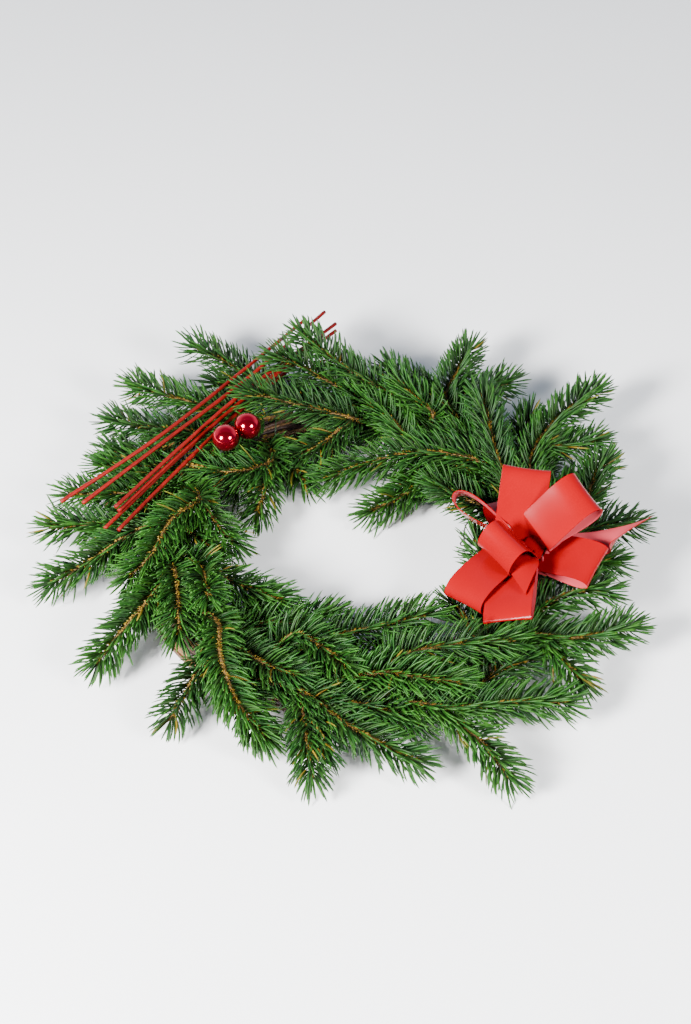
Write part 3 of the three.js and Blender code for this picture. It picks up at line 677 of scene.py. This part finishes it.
def add_twig(draft, path, start_radius, bare, rng, freshness, on_top):
    """A twig with its bark, the pegs on it and its needles."""
    rows = len(path)
    radius = np.linspace(start_radius, TIP_RADIUS, rows)
    rough = radius[:, None] * (1 + rng.normal(0, BARK_ROUGHNESS, (rows, BARK_SIDES)))
    rough[-1] *= 0.4
    tints = np.zeros((rows, 4))
    tints[:, 0] = np.linspace(0, 1, rows)
    tints[:, 1] = rng.random(rows)
    add_tube(draft, path, rough, BARK_SIDES, 1, tints)
    add_pegs(draft, path, start_radius * 0.8, rng)
    add_needles(draft, path, bare, start_radius * 0.8, rng, freshness, on_top)


def main_path(turn, lane, places):
    """The line of a sprig's main twig, from its cut end under the binding wire."""
    around = 360 / BUNDLE_SIDES * lane
    bearing = 360 * (turn + around / 360) / WIRE_TURNS
    butt = ring_place(bearing + BUTT_FROM, around, BUTT_DISTANCE)
    release = ring_place(bearing + BUTT_TO, around, BUTT_DISTANCE)
    held = spaced([butt, release], TWIG_STEP)
    free = smooth_path([release, *(place(*point) for point in places)], TWIG_STEP)
    return np.vstack([held[:-1], free])


def low_shoots(index, path):
    """The lines of the short shoots low on a sprig's main twig, one on either side."""
    rng = np.random.default_rng(SHOOT_SEED + index)
    shoots = []
    for side in (1, -1):
        start = rng.uniform(*SHOOT_START)
        turn = side * rng.uniform(*SHOOT_TURN)
        length = rng.uniform(*SHOOT_LENGTH)
        centre, ahead, _, _ = along_twig(path, np.array([start]))
        level = unit(np.array([*rotated(ahead[0, 0], ahead[0, 1], turn), 0]))
        middle = centre[0] + level * length * 0.5 + SHOOT_ARCH
        end = centre[0] + level * length - SHOOT_ARCH
        if index not in SHOOTS_LEFT_OUT[side]:
            shoot = smooth_path([centre[0], middle, end], TWIG_STEP)
            shoots.append(shoot[:len(shoot) - SHOOT_TIPS_CUT.get((index, side), 0)])
    return shoots


def new_material(name, roughness, specular=0.5):
    """A material with its node tree and its shader."""
    material = bpy.data.materials.new(name)
    material.use_nodes = True
    shader = material.node_tree.nodes["Principled BSDF"]
    shader.inputs["Roughness"].default_value = roughness
    shader.inputs["Specular IOR Level"].default_value = specular
    return material, material.node_tree, shader


def ramp(tree, factor, stops):
    """Colours at places from 0 to 1, looked up by a factor."""
    made = tree.nodes.new("ShaderNodeValToRGB")
    elements = made.color_ramp.elements
    while len(elements) < len(stops):
        elements.new(0.5)
    for element, (at, color) in zip(elements, stops):
        element.position = at
        element.color = (*color, 1)
    tree.links.new(factor, made.inputs["Fac"])
    return made.outputs["Color"]


def mix(tree, factor, first, second, blend="MIX"):
    """Two colours mixed by a factor. Each of the three is a value or a node's output."""
    made = tree.nodes.new("ShaderNodeMix")
    made.data_type = "RGBA"
    made.blend_type = blend
    for socket, value in ((made.inputs[0], factor), (made.inputs[6], first), (made.inputs[7], second)):
        if isinstance(value, bpy.types.NodeSocket):
            tree.links.new(value, socket)
        else:
            socket.default_value = value if isinstance(value, float) else (*value, 1)
    return made.outputs[2]


def multiply(tree, first, second):
    """Two colours multiplied."""
    return mix(tree, 1.0, first, second, "MULTIPLY")


def noise(tree, scale, detail):
    """A noise in the object's own metres."""
    coordinates = tree.nodes.new("ShaderNodeTexCoord")
    made = tree.nodes.new("ShaderNodeTexNoise")
    made.inputs["Scale"].default_value = scale
    made.inputs["Detail"].default_value = detail
    tree.links.new(coordinates.outputs["Object"], made.inputs["Vector"])
    return made.outputs["Fac"]


def paint(tree, shader, color):
    """Gives a shader its colour."""
    tree.links.new(color, shader.inputs["Base Color"])


def bump(tree, shader, height, distance):
    """Gives a shader a fine relief."""
    made = tree.nodes.new("ShaderNodeBump")
    made.inputs["Distance"].default_value = distance
    made.inputs["Strength"].default_value = 1.0
    tree.links.new(height, made.inputs["Height"])
    tree.links.new(made.outputs["Normal"], shader.inputs["Normal"])


def tint_parts(tree):
    """The four numbers of a point's tint."""
    attribute = tree.nodes.new("ShaderNodeAttribute")
    attribute.attribute_name = "tint"
    split = tree.nodes.new("ShaderNodeSeparateColor")
    tree.links.new(attribute.outputs["Color"], split.inputs["Color"])
    return split.outputs["Red"], split.outputs["Green"], split.outputs["Blue"], attribute.outputs["Alpha"]


def clouded_material(name, roughness, cloud, stops, metallic=0.0, specular=0.5):
    """A material of two colours in clouds of a scale and a detail, with its tree and shader."""
    material, tree, shader = new_material(name, roughness, specular)
    paint(tree, shader, ramp(tree, noise(tree, *cloud), stops))
    shader.inputs["Metallic"].default_value = metallic
    return material, tree, shader


def needle_material():
    """Waxy green, woody at the root and paler at the tip, with a faint pale stripe along each ridge that is
    partly its stomatal lines and partly a painted highlight, and a few ochre ones.
    """
    material, tree, shader = new_material("spruce_needle", 0.46, 0.21)
    along, fresh, dry, line = tint_parts(tree)
    dark = ramp(tree, along, [(0.0, (0.09, 0.055, 0.005)), (0.08, (0.0003, 0.010, 0.0025)),
                              (0.55, (0.0015, 0.020, 0.0035)), (0.85, (0.003, 0.032, 0.0035)),
                              (1.0, (0.005, 0.055, 0.006))])
    light = ramp(tree, along, [(0.0, (0.12, 0.07, 0.005)), (0.08, (0.001, 0.025, 0.0015)),
                               (0.55, (0.005, 0.050, 0.0022)), (0.85, (0.015, 0.088, 0.0045)),
                               (1.0, (0.040, 0.155, 0.010))])
    green = mix(tree, fresh, dark, light)
    # A paler stripe along each needle's ridge: partly its stomatal lines, partly a painted highlight
    ridge_stripe_and_highlight = mix(tree, 0.2, green, (0.040, 0.125, 0.025))
    striped_and_highlit_green = mix(tree, line, green, ridge_stripe_and_highlight)
    ochre = ramp(tree, along, [(0.0, (0.19, 0.090, 0.006)), (0.4, (0.22, 0.13, 0.010)),
                               (1.0, (0.18, 0.145, 0.012))])
    color = mix(tree, dry, striped_and_highlit_green, ochre)
    mottled = ramp(tree, noise(tree, 260, 3), [(0.35, (0.72, 0.72, 0.72)), (0.65, WHITE)])
    paint(tree, shader, multiply(tree, color, mottled))
    return material


def bark_material():
    """Ochre young bark, browner at the butt, with fine flecks and darker stretches."""
    material, tree, shader = new_material("spruce_bark", 0.75)
    along, patch, _, _ = tint_parts(tree)
    age = ramp(tree, along, [(0.0, (0.065, 0.029, 0.007)), (0.25, (0.165, 0.079, 0.006)),
                             (1.0, (0.165, 0.100, 0.007))])
    grain = noise(tree, 900, 4)
    flecks = ramp(tree, grain, [(0.3, (0.35, 0.30, 0.25)), (0.6, WHITE)])
    color = multiply(tree, age, flecks)
    patches = ramp(tree, patch, [(0.0, (0.52, 0.47, 0.40)), (1.0, WHITE)])
    paint(tree, shader, multiply(tree, color, patches))
    bump(tree, shader, grain, 0.0004)
    return material


def ring_bark_material():
    """Dark reddish bark of the twigs in the ring, with paler lenticels."""
    material, tree, shader = new_material("ring_bark", 0.6)
    _, patch, _, _ = tint_parts(tree)
    base = ramp(tree, patch, [(0.0, (0.020, 0.008, 0.006)), (0.5, (0.050, 0.020, 0.010)),
                              (1.0, (0.24, 0.13, 0.04))])
    grain = noise(tree, 700, 5)
    flecks = ramp(tree, grain, [(0.35, (0.5, 0.45, 0.4)), (0.62, WHITE), (0.72, (1.6, 1.5, 1.3))])
    paint(tree, shader, multiply(tree, base, flecks))
    bump(tree, shader, grain, 0.0005)
    return material


def ribbon_material(name, color, deep, roughness):
    """Smooth ribbon with a very fine grain and soft marks of handling."""
    stops = [(0.3, deep), (0.7, color)]
    material, tree, shader = clouded_material(name, roughness, (28, 3), stops, specular=0.1)
    bump(tree, shader, noise(tree, 1500, 2), 0.00004)
    return material


def wire_material(name, color, roughness, metallic):
    """Wire with duller worn stretches."""
    stops = [(0.35, tuple(0.55 * part for part in color)), (0.6, color)]
    return clouded_material(name, roughness, (400, 3), stops, metallic)[0]


def stick_material():
    """Thin wood under matt red paint, a little uneven."""
    material, tree, shader = new_material("painted_stick", 0.55, 0.2)
    _, patch, _, _ = tint_parts(tree)
    base = ramp(tree, patch, [(0.0, (0.115, 0.0016, 0.0006)), (1.0, (0.205, 0.003, 0.0012))])
    streaks = ramp(tree, noise(tree, 500, 4), [(0.3, (0.62, 0.62, 0.62)), (0.6, WHITE)])
    paint(tree, shader, multiply(tree, base, streaks))
    bump(tree, shader, noise(tree, 900, 3), 0.0002)
    return material


def make_camera():
    """The camera of the photograph: above and in front of the wreath, looking down at it."""
    tilt = math.radians(ELEVATION)
    back = Vector((0, -math.cos(tilt), math.sin(tilt))) * CAMERA_DISTANCE
    data = bpy.data.cameras.new("camera")
    data.lens = LENS
    data.sensor_width = LONG_SIDE
    camera = bpy.data.objects.new("camera", data)
    camera.location = Vector(RING_MIDDLE.tolist()) + (Vector(CAMERA_TARGET) + back) * MM
    camera.rotation_euler = Euler((math.radians(90 - ELEVATION), 0, 0))
    bpy.context.scene.collection.objects.link(camera)
    bpy.context.scene.camera = camera


def make_studio():
    """The floor, the softboxes and a sky that is brighter behind the wreath and low down."""
    mesh = bpy.data.meshes.new("floor")
    corners = [(x * FLOOR_HALF, y * FLOOR_HALF, 0) for x, y in ((-1, -1), (1, -1), (1, 1), (-1, 1))]
    mesh.from_pydata(corners, [], [(0, 1, 2, 3)])
    mesh.materials.append(FLOOR)
    floor = bpy.data.objects.new("floor", mesh)
    bpy.context.scene.collection.objects.link(floor)
    right, back, up = SOFTBOX_DIRECTION
    for name, side, power in SOFTBOXES:
        data = bpy.data.lights.new(name, "AREA")
        data.shape = "DISK"
        data.size = SOFTBOX_SIZE
        data.energy = power
        lamp = bpy.data.objects.new(name, data)
        lamp.location = Vector((side * right, back, up)) * SOFTBOX_DISTANCE
        lamp.rotation_euler = (-lamp.location).to_track_quat("-Z", "Y").to_euler()
        bpy.context.scene.collection.objects.link(lamp)
    world = bpy.data.worlds.new("studio")
    bpy.context.scene.world = world
    world.use_nodes = True
    tree = world.node_tree
    background = tree.nodes["Background"]
    coordinates = tree.nodes.new("ShaderNodeTexCoord")
    split = tree.nodes.new("ShaderNodeSeparateXYZ")
    tree.links.new(coordinates.outputs["Generated"], split.inputs["Vector"])
    sides = ramp(tree, split.outputs["Y"], [(0.0, (0.06, 0.08, 0.11)), (0.25, (0.62, 0.74, 0.92))])
    above = ramp(tree, split.outputs["Z"], [(0.35, WHITE), (0.75, (0.2, 0.2, 0.2))])
    tree.links.new(multiply(tree, sides, above), background.inputs["Color"])
    background.inputs["Strength"].default_value = SKY_STRENGTH


NEEDLE = needle_material()
BARK = bark_material()
RING_BARK = ring_bark_material()
RIBBON_FACE = ribbon_material("ribbon_face", (0.226, 0.0001, 0.0029), (0.198, 0.0001, 0.0022), 0.21)
RIBBON_BACK = ribbon_material("ribbon_back", (0.44, 0.046, 0.062), (0.39, 0.038, 0.050), 0.45)
# Red lacquer on mirrored glass, and a matt pale floor
BALL_COLORS = [(0.3, (0.58, 0.010, 0.030)), (0.7, (0.64, 0.014, 0.038))]
BALL = clouded_material("red_ball", 0.11, (120, 2), BALL_COLORS, metallic=0.95)[0]
FLOOR_COLORS = [(0.3, (0.86, 0.86, 0.865)), (0.7, (0.89, 0.89, 0.895))]
FLOOR = clouded_material("pale_floor", 0.75, (3, 2), FLOOR_COLORS)[0]
GREEN_WIRE = wire_material("green_wire", (0.035, 0.09, 0.04), 0.4, 0.3)
DARK_WIRE = wire_material("dark_wire", (0.030, 0.026, 0.022), 0.5, 0.3)
BRIGHT_WIRE = wire_material("bright_wire", (0.6, 0.58, 0.55), 0.35, 0.9)
STICK = stick_material()


def side_path(path, places):
    """The line of a side twig, which leaves the main twig near the first of its places."""
    points = [place(*point) for point in places]
    points[0] = path[np.argmin(np.linalg.norm(path - points[0], axis=1))]
    return smooth_path(points, TWIG_STEP)


def make_sprig(index, turn, lane, places, sides):
    """One sprig in place of its solid: main twig, side twigs and all their needles."""
    rng = np.random.default_rng(SPRIG_SEED + index)
    name = f"sprig_{index + 1:02d}"
    freshness = rng.uniform(*FRESHNESS)
    on_top = BOW_AND_BALLS if index in OVER_STICKS else OBSTACLES
    draft = Draft()
    path = main_path(turn, lane, places)
    path = path[:len(path) - TIPS_CUT.get(index, 0)]
    add_twig(draft, path, BUTT_RADIUS, MAIN_BARE, rng, freshness, on_top)
    for side in sides:
        add_twig(draft, side_path(path, side), SIDE_RADIUS, SIDE_BARE, rng, freshness, on_top)
    if name == CUT_SPUR_SPRIG:
        add_tube(draft, side_path(path, CUT_SPUR), CUT_SPUR_RADIUS, CUT_SPUR_SIDES, 1, (0.6, 0.8, 0, 0))
    for shoot in low_shoots(index, path):
        add_twig(draft, shoot, SHOOT_RADIUS, SIDE_BARE, rng, freshness * SHOOT_FRESHNESS, on_top)
    draft.make(f"{name}_foliage", [NEEDLE, BARK], name)


def make_ring():
    """A bundle of thin twigs that wander round each other along the ring."""
    rng = np.random.default_rng(RING_SEED)
    draft = Draft()
    turned = np.radians(np.linspace(0, 360, RING_STEPS, endpoint=False))
    for twig in range(RING_TWIGS):
        reach = BUNDLE_RADIUS * math.sqrt((twig + 0.5) / RING_TWIGS) * RING_TWIG_SPREAD
        drift = RING_TWIG_WANDER * np.sin(turned * rng.integers(1, 3) + rng.uniform(0, 6))
        around = twig * GOLDEN_ANGLE + drift
        wander = reach + RING_TWIG_WANDER * np.sin(turned * rng.integers(3, 7) + rng.uniform(0, 6))
        thick = rng.uniform(*RING_TWIG_RADIUS) * (1 + 0.06 * np.sin(turned * rng.integers(9, 30)))
        out = RING_RADIUS + wander * np.cos(around)
        height = np.maximum(BUNDLE_HEIGHT + wander * np.sin(around), thick + 0.2)
        line = np.stack([out * np.cos(turned), out * np.sin(turned), height], axis=1)
        add_tube(draft, line, thick, RING_TWIG_SIDES, 0, (0, rng.random(), 0, 0), closed=True)
    draft.make("ring_twigs", [RING_BARK], "ring_base")


def make_binding_wire():
    """The wire wound round the ring, over the butts and in the grooves."""
    draft = Draft()
    points = []
    for step in range(WIRE_TURNS * TURN_STEPS):
        around = 360 * step / TURN_STEPS
        angle = around % 360
        share = min(1, 2 * max(0, math.sin(math.radians(angle))))
        over = BESIDE_BUTTS + (OVER_BUTTS - BESIDE_BUTTS) * share
        reach = over if angle <= 180 else GROOVE_REACH
        points.append(ring_place(around / WIRE_TURNS, angle, reach))
    add_tube(draft, np.array(points), WIRE_RADIUS, BINDING_WIRE_SIDES, closed=True)
    draft.make("binding_wire_round", [GREEN_WIRE], "binding_wire")


def turned_points(out, up, across, band):
    """Points of a band of the bow, turned to the way that it points from the bow's middle."""
    y, z = rotated(up, across, 90 + band["roll"])
    x, z = rotated(out, z, band["rise"])
    x, y = rotated(x, y, band["bearing"])
    return np.stack([x, y, z], axis=-1) + place(*BOW_PLACE) + np.array(band["shift"])


def add_band(draft, band, line, gather, width=RIBBON_WIDTH, slant=0):
    """A band of ribbon along a line of points (out, up). Gather is 0 where it is pinched, 1 where full."""
    line = np.asarray(line, float)
    ahead = unit(np.gradient(line, axis=0))
    normal = np.stack([-ahead[:, 1], ahead[:, 0]], axis=1)
    share = np.linspace(-0.5, 0.5, ACROSS)
    spread = GATHERED_WIDTH + (1 - GATHERED_WIDTH) * gather
    across = width * spread[:, None] * share[None]
    fold = PLEAT_HEIGHT * (1 - gather)[:, None] * np.cos(2 * math.pi * PLEATS * share)[None]
    crown = CROWN * gather[:, None] * (1 - (2 * share[None]) ** 2)
    offset = fold + crown
    near_end = smoothstep(np.linalg.norm(line - line[-1], axis=1), SLANT_REACH, 0)
    out = line[:, 0:1] + normal[:, 0:1] * offset + slant * across / width * near_end[:, None]
    up = line[:, 1:2] + normal[:, 1:2] * offset
    middle = turned_points(out, up, across, band)
    facing = np.cross(np.gradient(middle, axis=0), np.gradient(middle, axis=1))
    facing = unit(facing) * (RIBBON_THICKNESS / 2)

    at = np.arange(len(line) * ACROSS).reshape(-1, ACROSS)
    grid = np.stack([at[:-1, :-1], at[:-1, 1:], at[1:, 1:], at[1:, :-1]], axis=-1).reshape(-1, 4)
    over = np.concatenate([at[:, 0], at[-1, 1:], at[-2::-1, -1], at[0, -2:0:-1]])
    under = over + at.size
    edges = np.stack([over, np.roll(over, -1), np.roll(under, -1), under], axis=1)
    for outline in (over, under):
        first = outline + draft.count
        pairs = zip(first.tolist(), np.roll(first, -1).tolist())
        draft.sharp.update(tuple(sorted(pair)) for pair in pairs)
    slot = band.get("face_slot", 0)
    faces = [grid[:, ::-1], grid + at.size, edges]
    draft.add(np.concatenate([middle + facing, middle - facing]), faces, [slot, 1 - slot, 0])


def loop_line(loop):
    """The line of a loop from the knot out to its fold and back on top, and how far it is gathered."""
    turned = np.linspace(0, math.pi, LOOP_ROWS)
    near = np.where(turned > math.pi / 2, loop.get("tucked", LOOP_START), LOOP_START)
    up = -loop["open"] / 2 * np.sin(2 * turned) + RIBBON_THICKNESS * (2 * turned / math.pi - 1)
    out = near + (loop["length"] - near) * np.clip(np.sin(turned), 0, 1) ** LOOP_FULLNESS
    gather = np.ones(LOOP_ROWS)
    if "gather" in loop:
        gather = smoothstep(out, 0, loop["length"] * loop["gather"])
    if "tucked" in loop:
        gather[turned > math.pi / 2] = 1
        curl = np.linspace(0, math.pi, TUCK_STEPS + 1)[1:]
        under = near[-1] + np.arange(1, TUCKED_ROWS + 1) * TUCKED_STEP
        out = np.concatenate([out, near[-1] - TUCK_RADIUS * np.sin(curl), under])
        low = np.full(TUCKED_ROWS, up[-1] - 2 * TUCK_RADIUS)
        up = np.concatenate([up, up[-1] - TUCK_RADIUS * (1 - np.cos(curl)), low])
        gather = np.concatenate([gather, np.ones(TUCK_STEPS + TUCKED_ROWS)])
    return np.stack([out, up], axis=1), gather


def make_bow():
    """The ribbon bow: loops, tails and the band over its knot."""
    draft = Draft()
    for loop in LOOPS:
        add_band(draft, loop, *loop_line(loop))
    for band in BANDS:
        line = smooth_path([(out, up, 0) for out, up in band["line"]], band["step"])[:, :2]
        gather = np.ones(len(line))
        if band["gather"]:
            gather = smoothstep(line[:, 0], 0, band["gather"])
        add_band(draft, band, line, gather, band["width"], band["slant"])
    bow = draft.make("ribbon_bow", [RIBBON_FACE, RIBBON_BACK], "bow_ribbon")
    return bow


def wrapped(row, start):
    """Points of a wire round the ring's bundle, from an angle on its inner side, under it, to outside."""
    points = []
    for around in range(start, 360, WRAP_STEP):
        bearing = 360 * (row / ROWS_PER_TURN + around / 360) / WIRE_TURNS
        points.append(ring_place(bearing, around, GROOVE_REACH))
    return points


def bow_wire_path():
    """The line of the bow's wire: down, under the ring and up into its curl."""
    start = place(*BOW_PLACE) - UNDER_BOW
    points = [start, *(place(*point) for point in BOW_WIRE_DOWN), *wrapped(BOW_ROW, INNER_SIDE)[::-1]]
    points += [place(*point) for point in BOW_WIRE_END]
    curl = place(*CURL_MIDDLE)
    for turned in np.radians(CURL_ANGLES):
        points.append(curl + CURL_RADIUS * np.array([math.cos(turned), 0, math.sin(turned)]))
    return smooth_path(points, BOW_WIRE_STEP)


def make_bow_wire():
    """The wire that holds the bow to the ring."""
    draft = Draft()
    add_tube(draft, bow_wire_path(), BOW_WIRE_RADIUS)
    draft.make("bow_wire_round", [DARK_WIRE], "bow_wire")


def make_ball(index, ball):
    """A blown ball with a short neck that its wire comes out of."""
    middle = place(*ball)
    away = unit(middle - place(*BALL_FORK))
    open_end = -BALL_RADIUS - NECK_LENGTH
    profile = [(0, open_end + 0.5), (NECK_RADIUS * 0.7, open_end + 0.3), (NECK_RADIUS, open_end)]
    profile += [(NECK_RADIUS * 1.02, open_end + 0.5), (NECK_RADIUS * 0.96, -BALL_RADIUS - 0.6)]
    start = math.asin(NECK_RADIUS / BALL_RADIUS) + NECK_ROUNDING
    for step in range(BALL_ROWS + 1):
        turned = start + (math.pi - start) * step / BALL_ROWS
        profile.append((BALL_RADIUS * math.sin(turned), -BALL_RADIUS * math.cos(turned)))
    profile[-1] = (0, BALL_RADIUS)
    first = any_normal(away)
    second = np.cross(away, first)
    points = []
    for reach, height in profile[1:-1]:
        for turned in np.arange(BALL_SIDES) * (2 * math.pi / BALL_SIDES):
            points.append(middle + away * height + reach * aimed(first, second, turned))
    points += [middle + away * height for _, height in (profile[0], profile[-1])]
    draft = Draft()
    draft.add(points, capped_faces(len(profile) - 2, BALL_SIDES))
    return draft.make(f"red_ball_{index + 1}", [BALL], f"glass_ball_{index + 1}")


def make_ball_wire():
    """A wire from inside each neck to the fork, and from there under the ring."""
    draft = Draft()
    fork = place(*BALL_FORK)
    for ball in BALLS:
        middle = place(*ball)
        start = middle + unit(fork - middle) * (BALL_RADIUS + NECK_LENGTH - 1)
        bent = (start + fork) / 2 + np.array([0, 0, 0.6])
        add_wire(draft, [start, bent, fork])
    add_wire(draft, [fork + np.array([0, 0, 1]), *wrapped(BALL_ROW, BALL_WIRE_FROM)])
    draft.make("ball_wire_round", [BRIGHT_WIRE], "ball_wire")


def make_stick(index, stick):
    """A thin painted rod, with small swellings along it and plainly cut ends."""
    rng = np.random.default_rng(STICK_SEED + index)
    path = smooth_path([place(*point) for point in stick], STICK_STEP)
    rows = len(path)
    swell = 1 + 0.04 * np.sin(np.linspace(0, 25, rows) + index) + rng.normal(0, 0.012, rows)
    tints = np.zeros((rows, 4))
    worn = 0.6 + 0.25 * np.sin(np.linspace(0, 9, rows) + 2 * index) + rng.normal(0, 0.1, rows)
    tints[:, 1] = np.clip(worn, 0, 1)
    draft = Draft()
    add_tube(draft, path, STICK_RADIUS * swell, STICK_SIDES, 0, tints)
    return draft.make(f"red_stick_{index + 1}", [STICK], f"painted_stick_{index + 1}")


def make_stick_wire():
    """The wire that goes round the ring, up to the sticks and round them."""
    paths = [smooth_path([place(*point) for point in stick], WIRE_STEP) for stick in STICKS]
    lead = paths[2]
    at = int(STICK_TIE * (len(lead) - 1))
    ahead = tangents(lead)[at]
    middles = [path[np.argmin(np.abs((path - lead[at]) @ ahead))] for path in paths]
    across = unit(np.cross(ahead, (0, 0, 1.0)))
    upward = np.cross(across, ahead)
    hug = []
    for turned in np.radians(HUG_ANGLES):
        away = aimed(across, upward, turned)
        reached = max(middles, key=lambda middle: middle @ away)
        hug.append(reached + away * HUG_REACH)
    draft = Draft()
    add_wire(draft, [*wrapped(STICK_ROW, INNER_SIDE), place(*STICK_WIRE_UP), *hug])
    draft.make("stick_wire_round", [DARK_WIRE], "stick_wire")


def make_obstacles(pieces):
    """A search tree of pieces."""
    points = []
    faces = []
    for piece in pieces:
        first = len(points)
        points += [(vertex.co / MM - Vector(RING_MIDDLE / MM)) for vertex in piece.data.vertices]
        faces += [[first + corner for corner in face.vertices] for face in piece.data.polygons]
    return BVHTree.FromPolygons(points, faces)


def make_wire_end():
    """A search tree of the clear space round the bow wire's free end."""
    space = Draft()
    add_tube(space, bow_wire_path()[-END_POINTS:], END_CLEAR, 6)
    return BVHTree.FromPolygons(np.vstack(space.points).tolist(), space.faces)


make_camera()
make_studio()
make_ring()
make_binding_wire()
bow = make_bow()
make_bow_wire()
balls = [make_ball(index, ball) for index, ball in enumerate(BALLS)]
make_ball_wire()
sticks = [make_stick(index, stick) for index, stick in enumerate(STICKS)]
make_stick_wire()
OBSTACLES = make_obstacles([bow, *balls, *sticks])
BOW_AND_BALLS = make_obstacles([bow, *balls])
WIRE_END = make_wire_end()
for index, (turn, lane, places, *sides) in enumerate(SPRIGS):
    make_sprig(index, turn, lane, places, sides)
